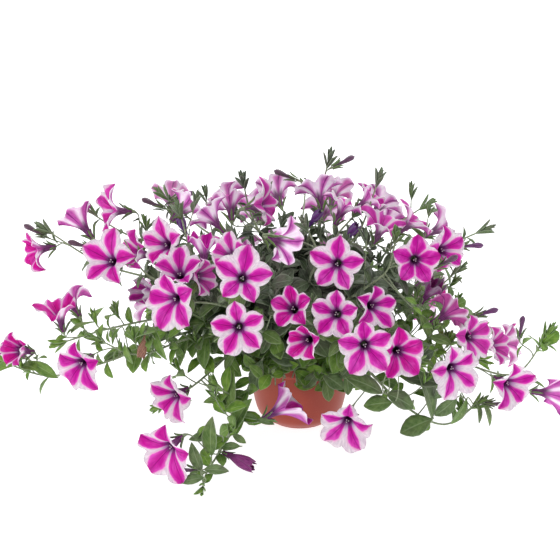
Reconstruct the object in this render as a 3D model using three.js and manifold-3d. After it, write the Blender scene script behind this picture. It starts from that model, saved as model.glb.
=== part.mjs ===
// A calibrachoa in flower, growing in a small round plastic pot. Millimetres, +Z up.
// The origin is the centre of the flat foot that the pot stands on.

import * as THREE from "three";
import { mergeVertices } from "three/addons/utils/BufferGeometryUtils.js";
import Module from "manifold-3d";

const wasm = await Module();
wasm.setup();

// Driving dimensions
const gap = 0.3;               // clearance between pieces that touch
const pot = {
  sides: 24,
  wall: 2.2,
  floor: 3.5,
  outside: [[0, 0], [22, 0], [24.5, 2.6], [27.5, 3.4], [33.5, 9], [36.8, 19], [39.4, 34], [40.6, 49],
    [42.2, 50.4], [42.6, 63.2], [41.8, 64]],
};
const soilTop = 57;
const hole = { radius: 3.9, depth: 4.3, sides: 6 };
const stemHoles = [{ radius: 9, count: 6 }, { radius: 20, count: 12 }, { radius: 31, count: 18 }];
const stem = { rootRadius: 1.9, tipRadius: 0.9, sides: 4, step: 24 };
const twig = { radius: 0.95, sides: 3, steps: 3, mouthRadius: 2.9 };
const bloom = { radius: 19, tubeLength: 20, tubeRadius: 3.9, baseRadius: 1.9, throatDepth: 8 };
const bud = { length: 19, radius: 2.3 };
const spinSwing = 0.5;         // how far a bloom is turned from having a lobe straight up, in radians
const leafSize = { atRoot: 27, atTip: 15, widthShare: 0.44, keel: 1.3, spacing: 35 };
const lowest = 0.8;            // nothing that trails comes nearer to the ground than this
const cornerGrids = [0.01, 0.005, 0.02, 0.002];  // the first that leaves a solid closed is used
const sliverHeight = 0.012;

// The sprays. A hole is [ring, place on the ring]. A path is the points that the main stem
// passes on its way to its tip. A bloom is its limb's centre, the way it faces and its size;
// blooms are pieces of their own, and joined blooms are one with their stem. A bud is its
// middle and the way it points. A furled bloom adds its size, and has a bud's shape here.
const sprays = [
  { name: "left_tip", hole: [1, 6], path: [[-45, 2, 96], [-110, 6, 116], [-160, 10, 130], [-205, 8, 160]],
    blooms: [[-214, 0, 143, -0.87, -0.48, -0.05, 0.85]],
    buds: [[-213, 15, 156, -0.85, 0.1, 0.45]] },
  { name: "left_crest", hole: [1, 5],
    path: [[-42, 18, 108], [-95, 22, 136], [-138, 22, 150], [-172, 32, 168]],
    joined: [[-153, 0, 176, -0.92, -0.35, 0.1, 0.95], [-178, 15, 166, -0.6, 0.3, 0.74, 1]],
    buds: [[-176, 5, 147, -0.9, -0.2, 0.3]] },
  { name: "left_face", hole: [1, 7],
    path: [[-38, -20, 98], [-80, -30, 118], [-118, -32, 132], [-138, -20, 158]],
    blooms: [[-148, -55, 152, -0.45, -0.78, 0.42, 1.12]],
    joined: [[-131, -25, 149, -0.8, -0.5, 0.3, 0.85]] },
  { name: "left_shoulder", hole: [0, 4],
    path: [[-28, -28, 108], [-58, -42, 132], [-80, -44, 144], [-94, -30, 186]],
    blooms: [[-106, -60, 165.5, -0.55, -0.78, 0.3, 1]],
    joined: [[-92, -85, 153, -0.15, -0.65, 0.75, 0.95], [-75, -44, 163, -0.05, 0.1, 0.99, 0.8]],
    furled: [[-92, -20, 170, -0.3, -0.3, 0.85, 0.7]] },
  { name: "left_top", hole: [0, 3], path: [[-24, 4, 116], [-52, 8, 144], [-78, 12, 158], [-112, 26, 184]],
    joined: [[-72, -26, 181, -0.65, 0.3, 0.68, 0.95], [-89, 15, 179, 0.65, 0.3, 0.65, 0.85],
      [-107, 48, 179, -0.2, 0.6, 0.75, 0.85]],
    buds: [[-94, 20, 183, 0.9, 0.1, 0.3], [-118, 20, 177, -0.85, -0.1, 0.4]] },
  { name: "back_top", hole: [0, 2], path: [[-16, 16, 118], [-30, 28, 146], [-40, 34, 166], [-46, 24, 196]],
    joined: [[-57, 36, 177, -0.1, 0.6, 0.75, 0.8]] },
  { name: "left_low", hole: [2, 8], path: [[-48, 4, 84], [-100, -6, 90], [-150, -10, 82], [-196, -4, 66]],
    joined: [[-191, -24, 103, -0.15, -0.1, 0.98, 1], [-190, 26, 97, -0.5, 0.45, 0.7, 0.95],
      [-124, -25, 118, -0.7, -0.55, 0.3, 0.75]] },
  { name: "left_trail", hole: [2, 9], path: [[-50, -14, 86], [-102, -38, 84], [-150, -56, 70],
      [-196, -50, 56], [-236, -34, 62]],
    blooms: [[-221, -62, 82, -0.6, -0.7, 0.35, 0.78]],
    joined: [[-238, -14, 68, -0.75, -0.2, 0.5, 0.75]] },
  { name: "left_front", hole: [2, 11],
    path: [[-42, -36, 84], [-86, -60, 90], [-124, -74, 82], [-158, -64, 92]],
    blooms: [[-169, -92, 79, -0.45, -0.87, -0.1, 1.05]],
    furled: [[-120, -84, 91, -0.2, -0.3, -0.9, 0.6]] },
  { name: "low_left", hole: [2, 10], path: [[-42, -17, 79], [-64, -32, 60], [-86, -44, 44], [-112, -40, 26]],
    blooms: [[-101, -68, 44, -0.62, -0.75, -0.1, 1.15]] },
  { name: "front_left", hole: [1, 8],
    path: [[-28, -36, 96], [-52, -52, 112], [-74, -62, 120], [-104, -70, 122]],
    blooms: [[-97, -104, 135, -0.5, -0.85, 0.1, 1.12]],
    joined: [[-72, -71, 143, 0.8, -0.5, 0.1, 0.8]] },
  { name: "front_crest", hole: [1, 9],
    path: [[-12, -40, 112], [-24, -64, 136], [-34, -80, 150], [-52, -72, 178]],
    blooms: [[-43, -118, 157, 0.05, -0.92, 0.35, 1.05]],
    joined: [[-56, -96, 170, -0.5, -0.6, 0.6, 0.75]] },
  { name: "front_mid", hole: [2, 13],
    path: [[-18, -46, 86], [-30, -72, 100], [-40, -92, 112], [-62, -102, 110]],
    blooms: [[-46, -128, 122, 0, -0.96, 0.26, 1.05]] },
  { name: "front_trail", hole: [2, 12],
    path: [[-24, -38, 75], [-36, -54, 58], [-46, -68, 38], [-58, -94, 18], [-71, -122, 5], [-73, -149, 3]],
    blooms: [[-100, -142, 31, -0.55, -0.8, -0.25, 1.25], [-12, -77, 42, 0.8, 0.15, 0.5, 1.25]],
    buds: [[-86, -128, 10, -0.8, -0.5, 0.2]],
    furled: [[-50, -114, 14, 0.85, -0.4, -0.25, 0.75]] },
  { name: "front_right", hole: [2, 14],
    path: [[6, -46, 88], [8, -70, 100], [10, -88, 110], [18, -104, 112]],
    blooms: [[24, -119, 130, -0.2, -0.9, 0.35, 0.95], [1, -140, 116, -0.4, -0.85, 0.2, 0.78]],
    joined: [[-8, -112, 133, -0.25, -0.8, 0.5, 0.85]] },
  { name: "front_top", hole: [0, 5], path: [[6, -28, 114], [8, -46, 138], [14, -58, 154], [2, -72, 186]],
    blooms: [[25, -97, 160, -0.18, -0.95, 0.15, 1]],
    joined: [[-11, -62, 166, 0.72, 0.45, -0.42, 0.95]] },
  { name: "front_low", hole: [2, 15], path: [[22, -42, 80], [36, -64, 86], [52, -82, 88], [88, -96, 82]],
    blooms: [[46, -134, 110, 0.05, -0.97, 0.22, 1.06], [73, -112, 97, 0.25, -0.95, 0.12, 1.05]] },
  { name: "right_face", hole: [1, 10], path: [[26, -34, 104], [48, -48, 126], [66, -50, 142], [72, -64, 174]],
    blooms: [[56, -94, 128, 0.5, -0.82, 0.28, 0.88], [86, -76, 157, 0.05, -0.98, 0.15, 0.98]],
    buds: [[111, -60, 152, 0.75, -0.3, 0.55]] },
  { name: "right_top", hole: [0, 0], path: [[16, -4, 116], [32, -6, 146], [46, -8, 160], [62, -2, 204]],
    joined: [[65, -22, 173, 0.35, -0.2, 0.9, 1], [58, 2, 188, 0.75, -0.1, 0.65, 0.7],
      [36, -14, 187, 0.45, 0.12, 0.88, 0.95]],
    furled: [[40, -22, 165, 0.5, -0.3, 0.75, 0.75]] },
  { name: "top_centre", hole: [0, 1], path: [[6, 10, 112], [6, 22, 142], [14, 42, 166], [24, 44, 210]],
    joined: [[14, 26, 189, -0.15, 0.55, 0.82, 1.05], [-24, -8, 183, 0.88, -0.3, 0.2, 1]],
    buds: [[35, 30, 209, 0.85, 0.1, 0.4], [-12, 30, 198, -0.9, -0.1, 0.4]],
    furled: [[12, -8, 173, 0.5, -0.3, 0.75, 0.65]] },
  { name: "right_crest", hole: [1, 11],
    path: [[34, -16, 106], [64, -20, 128], [90, -20, 142], [146, -10, 164]],
    blooms: [[113, -44, 156, 0.6, -0.77, 0.15, 0.95]],
    joined: [[92, -8, 172, 0.8, 0.05, 0.6, 0.95]],
    buds: [[134, -16, 152, 0.9, -0.2, 0.1]] },
  { name: "right_mid", hole: [1, 0], path: [[38, 0, 96], [72, -6, 106], [100, -8, 108], [128, 2, 128]],
    blooms: [[119, -28, 103, 0.75, 0.3, 0.45, 1]],
    joined: [[104, -38, 127, 0.45, -0.3, 0.85, 0.75]],
    buds: [[149, -10, 95, 0.9, -0.1, 0.3]] },
  { name: "right_low", hole: [2, 17], path: [[46, -18, 80], [80, -26, 80], [112, -34, 70], [146, -28, 60]],
    blooms: [[118, -84, 73, 0.45, -0.88, 0.05, 1.08]],
    joined: [[136, -46, 87, 0.55, -0.75, 0.25, 1], [160, -10, 68, 0.75, -0.5, 0.35, 0.85]] },
  { name: "right_trail", hole: [2, 0],
    path: [[50, 4, 82], [96, 2, 68], [140, -6, 48], [176, -10, 44], [202, -2, 78]],
    blooms: [[166, -54, 49, 0.6, -0.8, -0.05, 1.08], [206, -10, 26, 0.95, 0.2, -0.15, 0.95]],
    buds: [[180, 8, 77, 0.1, -0.1, 0.95]] },
  { name: "right_ground", hole: [2, 16],
    path: [[36, -32, 75], [56, -46, 56], [82, -54, 32], [114, -52, 16], [142, -48, 34]],
    blooms: [[34, -88, 29, -0.25, -0.92, -0.3, 1.1]],
    buds: [[154, -52, 33, 0.95, -0.2, 0]] },
];

// The stems behind the middle of the plant follow two arcs, a low one and a high one. Each
// point and bloom is [distance from the axis, height], and a bloom adds how far round from
// its stem it is, in degrees, how much it faces up, and its size.
const backArcs = [
  { name: "back_low", ring: 2, places: [1, 3, 5, 7], path: [[47, 82], [92, 92], [132, 78], [170, 58]],
    blooms: [[118, 116, 14, 0.55, 0.95], [140, 90, 19, 0.25, 1], [180, 52, -8, 0.1, 0.95]] },
  { name: "back_high", ring: 1, places: [1, 2, 3, 4], path: [[34, 108], [62, 136], [92, 150], [124, 166]],
    blooms: [[96, 172, 12, 0.8, 0.95], [122, 150, -12, 0.45, 1]] },
];

// Colours of the pieces
const skins = {
  pot: { color: 0x9c4a36, roughness: 0.5, metalness: 0 },
  soil: { color: 0x3a2a20, roughness: 1, metalness: 0 },
  green: { color: 0x4f7a34, roughness: 0.7, metalness: 0 },
  petal: { color: 0xd65cb8, roughness: 0.6, metalness: 0 },
};

const vec = (list) => new THREE.Vector3(...list);

// A repeatable draw between 0 and 1 for whole number n
function draw(n) {
  const value = Math.sin(n * 12.9898 + 78.233) * 43758.5453;
  return value - Math.floor(value);
}

// Solids and geometries

function toSolid(geometry) {
  const bare = geometry.clone();
  bare.deleteAttribute("normal");
  bare.deleteAttribute("uv");
  const merged = mergeVertices(bare, 1e-4);
  return new wasm.Manifold(new wasm.Mesh({
    numProp: 3,
    vertProperties: new Float32Array(merged.attributes.position.array),
    triVerts: new Uint32Array(merged.index.array),
  }));
}

// A solid's corners and faces with its corners on a grid. Joining leaves some corners nearly on
// each other, and the faces between those go: the flat ones, and pairs that lie back to back.
function onGrid({ vertProperties, triVerts }, grid) {
  const numbers = new Map();
  const corners = [];
  const numberOf = (vertex) => {
    const point = [0, 1, 2].map((k) => Math.round(vertProperties[3 * vertex + k] / grid) * grid);
    const key = point.map((value) => value.toFixed(4)).join();
    if (!numbers.has(key)) {
      numbers.set(key, numbers.size);
      corners.push(...point);
    }
    return numbers.get(key);
  };
  const faces = new Map();
  for (let i = 0; i < triVerts.length; i += 3) {
    const face = [0, 1, 2].map((k) => numberOf(triVerts[i + k]));
    if (new Set(face).size < 3) continue;
    const key = [...face].sort().join();
    if (faces.has(key)) faces.delete(key);
    else faces.set(key, face);
  }
  return { corners, faces: [...faces.values()] };
}

// Whether each edge of the faces is passed once in each direction
function isClosed(faces) {
  const passes = new Set();
  faces.forEach((face) => face.forEach((from, k) => passes.add(`${from}>${face[(k + 1) % 3]}`)));
  const returned = [...passes].every((pass) => passes.has(pass.split(">").reverse().join(">")));
  return returned && passes.size === 3 * faces.length;
}

// Where a corner lies almost on the far edge of its face, that face and the one across the edge
// are split the other way, so that no face is a sliver
function splitSlivers(corners, faces) {
  const corner = (n) => new THREE.Vector3(corners[3 * n], corners[3 * n + 1], corners[3 * n + 2]);
  const owner = new Map();
  const own = (face, i) => face.forEach((from, k) => owner.set(`${from}>${face[(k + 1) % 3]}`, i));
  faces.forEach(own);
  faces.forEach((face, i) => {
    const lengths = face.map((from, k) => corner(from).distanceTo(corner(face[(k + 1) % 3])));
    const k = lengths.indexOf(Math.max(...lengths));
    const [a, b, c] = [face[k], face[(k + 1) % 3], face[(k + 2) % 3]];
    const height = corner(c).sub(corner(a)).cross(corner(b).sub(corner(a))).length() / lengths[k];
    const across = owner.get(`${b}>${a}`);
    const d = faces[across].find((n) => n !== a && n !== b);
    if (height > sliverHeight || owner.has(`${c}>${d}`) || owner.has(`${d}>${c}`)) return;
    owner.delete(`${a}>${b}`);
    owner.delete(`${b}>${a}`);
    faces[i] = [c, a, d];
    faces[across] = [d, b, c];
    own(faces[i], i);
    own(faces[across], across);
  });
}

function toGeometry(solid) {
  const mesh = solid.getMesh();
  const { corners, faces } = cornerGrids.map((grid) => onGrid(mesh, grid))
    .find((tried) => isClosed(tried.faces));
  splitSlivers(corners, faces);
  splitSlivers(corners, faces);
  const geometry = new THREE.BufferGeometry();
  geometry.setAttribute("position", new THREE.Float32BufferAttribute(corners, 3));
  geometry.setIndex(faces.flat());
  return geometry;
}

// A closed skin from a start point through rings of points to an end point. Two rings that
// meet have the same number of points, or one has a whole multiple of the other's.
function loft(start, rings, end) {
  const points = [start];
  const faces = [];
  const firsts = rings.map((ring) => {
    const first = points.length;
    points.push(...ring);
    return first;
  });
  points.push(end);
  const at = (k, i) => firsts[k] + (i % rings[k].length);
  rings[0].forEach((_, i) => faces.push(0, at(0, i), at(0, i + 1)));
  for (let k = 0; k + 1 < rings.length; k += 1) {
    const here = rings[k].length;
    const next = rings[k + 1].length;
    const many = Math.max(here, next) / Math.min(here, next);
    const half = Math.floor(many / 2);
    for (let i = 0; i < Math.min(here, next); i += 1) {
      for (let j = 0; j < many; j += 1) {
        const single = j < half ? i : i + 1;
        if (next > here) faces.push(at(k, single), at(k + 1, many * i + j), at(k + 1, many * i + j + 1));
        else faces.push(at(k, many * i + j), at(k + 1, single), at(k, many * i + j + 1));
      }
      if (next > here) faces.push(at(k, i), at(k + 1, many * i + half), at(k, i + 1));
      else faces.push(at(k, many * i + half), at(k + 1, i), at(k + 1, i + 1));
    }
  }
  const last = rings.length - 1;
  rings[last].forEach((_, i) => faces.push(points.length - 1, at(last, i + 1), at(last, i)));
  const geometry = new THREE.BufferGeometry().setFromPoints(points);
  geometry.setIndex(faces);
  return geometry;
}

// A stalk along a curve, whose radius changes with the share of its length
function stalk(curve, steps, sides, radiusAt) {
  const corners = [];
  for (let i = 0; i < sides; i += 1) {
    const angle = (2 * Math.PI * i) / sides;
    corners.push(new THREE.Vector2(Math.cos(angle), Math.sin(angle)));
  }
  const geometry = new THREE.ExtrudeGeometry(new THREE.Shape(corners), { steps, extrudePath: curve });
  const centres = curve.getSpacedPoints(steps);
  const place = geometry.attributes.position;
  const point = new THREE.Vector3();
  for (let i = 0; i < place.count; i += 1) {
    point.fromBufferAttribute(place, i);
    const reaches = centres.map((centre) => centre.distanceTo(point));
    const nearest = reaches.indexOf(Math.min(...reaches));
    point.sub(centres[nearest]).multiplyScalar(radiusAt(nearest / steps)).add(centres[nearest]);
    place.setXYZ(i, point.x, point.y, point.z);
  }
  return toSolid(geometry);
}

// A number between the values of a list that are spread evenly over 0 to 1
function between(values, share) {
  const place = share * (values.length - 1);
  const low = Math.min(Math.floor(place), values.length - 2);
  return THREE.MathUtils.lerp(values[low], values[low + 1], place - low);
}

// Pot and soil

function potSolid() {
  const inside = pot.outside.filter(([radius, z]) => z > pot.floor + 1 && radius < 40);
  const profile = pot.outside.map(([radius, z]) => new THREE.Vector2(radius, z));
  const rim = pot.outside[pot.outside.length - 1];
  profile.push(new THREE.Vector2(rim[0] - pot.wall, rim[1]));
  inside.reverse().forEach(([radius, z]) => profile.push(new THREE.Vector2(radius - pot.wall, z - 0.4)));
  profile.push(new THREE.Vector2(24, pot.floor), new THREE.Vector2(0, pot.floor));
  return toSolid(new THREE.LatheGeometry(profile, pot.sides).rotateX(Math.PI / 2));
}

function soilSolid() {
  const walls = pot.outside.filter(([radius, z]) => z > pot.floor + 1 && radius < 40);
  const profile = [new THREE.Vector2(0, pot.floor + gap), new THREE.Vector2(24 - gap, pot.floor + gap)];
  walls.forEach(([radius, z]) => profile.push(new THREE.Vector2(radius - pot.wall - 2 * gap, z - 0.4 + gap)));
  const [edge] = walls[walls.length - 1];
  profile.push(new THREE.Vector2(edge - pot.wall - 2 * gap, soilTop), new THREE.Vector2(0, soilTop));
  return toSolid(new THREE.LatheGeometry(profile, pot.sides).rotateX(Math.PI / 2));
}

function holePlace([ring, place]) {
  const { radius, count } = stemHoles[ring];
  const angle = (2 * Math.PI * place) / count;
  return new THREE.Vector3(radius * Math.cos(angle), radius * Math.sin(angle), soilTop - hole.depth + gap);
}

function holeSolid(place) {
  const cutter = new THREE.CylinderGeometry(hole.radius, hole.radius, 2 * hole.depth, hole.sides);
  cutter.rotateX(Math.PI / 2);
  cutter.translate(place.x, place.y, soilTop);
  return toSolid(cutter);
}

// Leaves, blooms and buds

// A leaf with a flat upper face and a keel below, wide beyond its middle and pointed
function leafSolid(base, direction, face, length, width, keel) {
  const side = direction.clone().cross(face).normalize();
  const up = side.clone().cross(direction).normalize();
  const at = (along, sag) => base.clone().addScaledVector(direction, along * length)
    .addScaledVector(up, -sag * length);
  const section = (along, half, depth, sag) => {
    const middle = at(along, sag);
    return [
      middle.clone().addScaledVector(side, half * width),
      middle.clone().addScaledVector(side, -half * width),
      middle.clone().addScaledVector(up, -depth),
    ];
  };
  const rings = [section(0.25, 0.2, keel, 0), section(0.62, 0.5, keel, 0.03)];
  return toSolid(loft(at(0, 0), rings, at(1, 0.12)));
}

// A trumpet-shaped bloom: five broad lobes on a narrow tube, its throat sunk. A bloom that
// is one with its stem has straight lobes with fewer corners.
function bloomSolid(centre, facing, size, spin, fine) {
  const radius = bloom.radius * size;
  const forward = new THREE.Vector3(0, 0, 1);
  const turn = new THREE.Quaternion().setFromUnitVectors(forward, facing);
  const ring = (count, reachAt, heightAt) => Array.from({ length: count }, (_, i) => {
    const angle = (2 * Math.PI * i) / count;
    const reach = reachAt(angle, i);
    const point = new THREE.Vector3(reach, 0, heightAt(angle, i));
    return point.applyAxisAngle(forward, angle + spin).applyQuaternion(turn).add(centre);
  });
  const axis = (z) => new THREE.Vector3(0, 0, z).applyQuaternion(turn).add(centre);
  const throat = ring(5, () => 3, () => -1.6);
  const tube = [
    ring(5, () => bloom.tubeRadius, () => -4.2),
    ring(5, () => bloom.baseRadius, () => -bloom.tubeLength),
  ];
  const rim = fine ? { reach: [1, 0.97, 0.8, 0.97], height: [0.02, 0.09, 0.03, 0.09] }
    : { reach: [0.8, 0.99, 0.99], height: [0.04, 0.07, 0.07] };
  const corners = rim.reach.length;
  const atCorner = (list) => (_, i) => list[i % corners] * radius;
  const edge = ring(5 * corners, atCorner(rim.reach), atCorner(rim.height));
  const swell = (angle) => 1 + 0.7 * Math.cos(5 * angle);
  const front = fine ? [ring(10, () => 0.5 * radius, swell)] : [];
  const rings = [throat, ...front, edge, ...tube];
  return toSolid(loft(axis(-bloom.throatDepth), rings, axis(-bloom.tubeLength)));
}

// The curve of a twig from a point of the main stem to the calyx of a bloom or bud
function twigCurve(from, along, mouth, facing) {
  const reach = 0.4 * from.distanceTo(mouth);
  const leaving = mouth.clone().sub(from).normalize().add(along).normalize();
  return new THREE.CubicBezierCurve3(from, from.clone().addScaledVector(leaving, reach),
    mouth.clone().addScaledVector(facing, -reach), mouth);
}

// The share of the main stem's length from which a twig to this calyx starts
function forkShare(spine, mouth, facing) {
  const aim = mouth.clone().addScaledVector(facing, -10);
  const count = 24;
  let best = 0.3;
  let least = Infinity;
  for (let i = 7; i <= count - 2; i += 1) {
    const share = i / count;
    const reach = pointOn(spine, share).distanceTo(aim);
    if (reach < least) {
      least = reach;
      best = share;
    }
  }
  return Math.max(0.25, best - 0.35 * least / spine.length);
}

// A main stem's straight pieces, with their whole length
function spineOf(curve) {
  const length = curve.getLength();
  const steps = Math.max(5, Math.round(length / stem.step));
  return { points: curve.getSpacedPoints(steps), length, steps };
}

function pointOn(spine, share) {
  const place = share * spine.steps;
  const low = Math.min(Math.floor(place), spine.steps - 1);
  return spine.points[low].clone().lerp(spine.points[low + 1], place - low);
}

function directionOn(spine, share) {
  const low = Math.min(Math.floor(share * spine.steps), spine.steps - 1);
  return spine.points[low + 1].clone().sub(spine.points[low]).normalize();
}

// One spray: its woody solids, and the leaves that it would bear
function growSpray(plan, number) {
  const root = holePlace(plan.hole);
  const points = [root, root.clone().add(new THREE.Vector3(0, 0, 12)), ...plan.path.map(vec)];
  const curve = new THREE.CatmullRomCurve3(points, false, "catmullrom");
  const spine = spineOf(curve);
  const radiusAt = (share) => THREE.MathUtils.lerp(stem.rootRadius, stem.tipRadius, share);
  const wood = [stalk(curve, spine.steps, stem.sides, radiusAt)];
  const flowers = [];
  const leaves = [];
  const fork = (mouth, facing) => {
    const share = forkShare(spine, mouth, facing);
    return twigCurve(pointOn(spine, share), directionOn(spine, share), mouth, facing);
  };
  const plain = () => twig.radius;
  const calyx = (share) => between([1, 0.9, 1, twig.mouthRadius / twig.radius], share) * twig.radius;
  const bear = (list, own) => (list ?? []).forEach(([x, y, z, fx, fy, fz, size], i) => {
    const centre = vec([x, y, z]);
    const facing = vec([fx, fy, fz]).normalize();
    const base = centre.clone().addScaledVector(facing, -bloom.tubeLength);
    const mouth = base.clone().addScaledVector(facing, own ? -gap : 2.5);
    const curveToMouth = fork(mouth, facing);
    const swing = spinSwing * (draw(100 * number + 10 * i + (own ? 1 : 2)) - 0.5);
    const flower = bloomSolid(centre, facing, size, Math.atan2(-fy, -fx) + swing, own);
    wood.push(stalk(curveToMouth, twig.steps, twig.sides, own ? calyx : plain));
    if (own) flowers.push(flower);
    else wood.push(flower);
  });
  bear(plan.blooms, true);
  bear(plan.joined, false);
  const spindle = (share) => bud.radius * between([0.4, 0.4, 0.45, 1, 0.9, 0.15], share);
  [...(plan.buds ?? []), ...(plan.furled ?? [])].forEach(([x, y, z, fx, fy, fz]) => {
    const facing = vec([fx, fy, fz]).normalize();
    const end = vec([x, y, z]).addScaledVector(facing, bud.length / 2);
    wood.push(stalk(fork(end, facing), 5, twig.sides, spindle));
  });
  const count = Math.round(spine.length / leafSize.spacing);
  for (let n = 0; n < count; n += 1) {
    const share = 0.22 + 0.78 * (n + 0.7) / count;
    leaves.push({ spine, share, seed: 1000 * number + 10 * n });
  }
  return { name: plan.name, wood, flowers, leaves };
}

// A leaf of a spray, turned further round its stem with each try
function leafOn({ spine, share, seed }, turn, allowance) {
  const along = directionOn(spine, share);
  const across = along.clone().cross(new THREE.Vector3(0, 0, 1)).normalize();
  const above = across.clone().cross(along);
  const angle = (0.4 + seed * 0.24 + turn) * Math.PI;
  const outward = across.multiplyScalar(Math.cos(angle)).addScaledVector(above, Math.abs(Math.sin(angle)));
  const direction = outward.multiplyScalar(0.8).addScaledVector(along, 0.6).normalize();
  const face = along.clone().add(new THREE.Vector3(0, 0, 0.7));
  const length = THREE.MathUtils.lerp(leafSize.atRoot, leafSize.atTip, share) * (0.85 + 0.3 * draw(seed));
  const width = length * leafSize.widthShare + 2 * allowance;
  const keel = leafSize.keel + allowance;
  return leafSolid(pointOn(spine, share), direction, face, length + allowance, width, keel);
}

// The plan of every spray, with the back ones worked out from their arcs
function allPlans() {
  const plans = [...sprays];
  backArcs.forEach((arc) => arc.places.forEach((place, k) => {
    const middle = (360 * place) / stemHoles[arc.ring].count;
    const polar = (distance, degrees, z) => {
      const angle = THREE.MathUtils.degToRad(degrees);
      return [distance * Math.cos(angle), distance * Math.sin(angle), z];
    };
    const path = arc.path.map(([distance, z], i) => polar(distance, middle + 3 * Math.sin(i + k), z));
    const joined = arc.blooms.map(([distance, z, aside, upward, size], i) => {
      const shift = 8 * (draw(17 * place + i) - 0.5);
      const [x, y] = polar(distance + shift, middle + aside, 0);
      const [fx, fy] = polar(1, middle + 1.5 * aside, 0);
      return [x, y, z + shift, fx, fy, upward, size];
    });
    plans.push({ name: `${arc.name}_${k + 1}`, hole: [arc.ring, place], path, joined });
  }));
  return plans;
}

// Putting the plant together

const crosses = (a, b) => {
  const boxA = a.boundingBox();
  const boxB = b.boundingBox();
  const apart = [0, 1, 2].some((k) => boxA.max[k] < boxB.min[k] || boxB.max[k] < boxA.min[k]);
  return !apart && !a.intersect(b).isEmpty();
};

const grown = allPlans().map(growSpray);
const potBody = potSolid();
let soilBody = soilSolid();
allPlans().forEach((plan) => {
  soilBody = soilBody.subtract(holeSolid(holePlace(plan.hole)));
});

// Leaves grow where there is room for them, next to everything that stands already
grown.forEach((spray) => {
  const others = [potBody, soilBody];
  grown.forEach((other) => {
    others.push(...other.flowers);
    others.push(...(other === spray ? other.wood.slice(1) : [...other.wood, ...(other.kept ?? [])]));
  });
  spray.kept = [];
  spray.leaves.forEach((place) => {
    const turn = [0, 0.5, 1, 1.5].find((tried) => {
      const test = leafOn(place, tried, gap);
      return test.boundingBox().min[2] > lowest && !others.some((other) => crosses(test, other));
    });
    if (turn !== undefined) spray.kept.push(leafOn(place, turn, 0));
  });
});

// The main body of a joined solid, without the crumbs that crossing faces leave loose
const largest = (solid) => solid.decompose().sort((a, b) => b.volume() - a.volume())[0];

const group = new THREE.Group();

function addPiece(name, solid, skin) {
  const mesh = new THREE.Mesh(toGeometry(solid), new THREE.MeshStandardMaterial(skin));
  mesh.name = name;
  group.add(mesh);
}

addPiece("pot", potBody, skins.pot);
addPiece("soil", soilBody, skins.soil);
grown.forEach((spray) => {
  const body = largest([...spray.wood, ...spray.kept].reduce((whole, piece) => whole.add(piece)));
  addPiece(`spray_${spray.name}`, body, skins.green);
  spray.flowers.forEach((flower, i) => addPiece(`bloom_${spray.name}_${i + 1}`, flower, skins.petal));
});

export default group;
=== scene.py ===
import math

import bmesh
import bpy
from mathutils import Matrix, Vector, noise
from mathutils.geometry import interpolate_bezier, intersect_point_line


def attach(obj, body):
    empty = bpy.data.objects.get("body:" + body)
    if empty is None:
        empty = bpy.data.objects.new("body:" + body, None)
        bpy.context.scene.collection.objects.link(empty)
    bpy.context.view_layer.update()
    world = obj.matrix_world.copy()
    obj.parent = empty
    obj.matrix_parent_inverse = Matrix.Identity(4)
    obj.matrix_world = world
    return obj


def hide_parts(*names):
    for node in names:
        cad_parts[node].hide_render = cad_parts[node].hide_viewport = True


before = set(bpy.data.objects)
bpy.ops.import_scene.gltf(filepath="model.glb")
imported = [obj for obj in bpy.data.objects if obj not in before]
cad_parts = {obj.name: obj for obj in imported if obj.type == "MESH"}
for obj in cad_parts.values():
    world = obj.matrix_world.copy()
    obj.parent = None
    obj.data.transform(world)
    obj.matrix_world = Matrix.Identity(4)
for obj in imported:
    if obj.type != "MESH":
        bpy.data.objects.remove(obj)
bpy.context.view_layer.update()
scene = bpy.context.scene

# Lengths are in millimetres, like the plant's plan, until a piece is finished
metresPerMillimetre = 0.001
upward = Vector((0, 0, 1))


viewPlan = {
    "aim": (-16, 0, 119),
    "distance": 1300,
    "elevation": 17,
    "lens": 104.46,
    "sensor": 36,
}

lightPlan = {
    "sky": (0.6, 0.61, 0.63, 1.0),
    # name: place, size, watts, colour
    "lamps": {
        "keyLamp": ((-700, -1000, 1300), 800, 9, (1.0, 0.98, 0.96)),
        "fillLamp": ((1100, -700, 700), 1100, 2, (0.97, 0.98, 1.0)),
        "backLamp": ((200, 1200, 1200), 900, 14, (1.0, 1.0, 1.0)),
    },
    "floor": (0.5, 0.5, 0.505, 1.0),
    "floorGlow": (0.93, 0.93, 0.935, 1.0),
    "floorStrength": 0.95,
    "floorRadius": 6000,
}


def metres(point):
    return Vector(point) * metresPerMillimetre


def setView():
    camera = bpy.data.objects.new("camera", bpy.data.cameras.new("camera"))
    tilt = math.radians(viewPlan["elevation"])
    away = Vector((0, -math.cos(tilt), math.sin(tilt))) * viewPlan["distance"]
    camera.location = metres(Vector(viewPlan["aim"]) + away)
    camera.rotation_euler = (math.pi / 2 - tilt, 0, 0)
    camera.data.sensor_width = viewPlan["sensor"]
    camera.data.lens = viewPlan["lens"]
    scene.collection.objects.link(camera)
    scene.camera = camera
    scene.view_settings.view_transform = "Standard"


def setLights():
    world = bpy.data.worlds.new("studio")
    world.use_nodes = True
    world.node_tree.nodes["Background"].inputs["Color"].default_value = lightPlan["sky"]
    scene.world = world
    for name, (place, size, watts, colour) in lightPlan["lamps"].items():
        lamp = bpy.data.objects.new(name, bpy.data.lights.new(name, "AREA"))
        lamp.data.shape = "DISK"
        lamp.data.size = size * metresPerMillimetre
        lamp.data.energy = watts
        lamp.data.color = colour
        lamp.location = metres(place)
        aim = metres(viewPlan["aim"]) - lamp.location
        lamp.rotation_euler = aim.to_track_quat("-Z", "Y").to_euler()
        scene.collection.objects.link(lamp)


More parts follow.
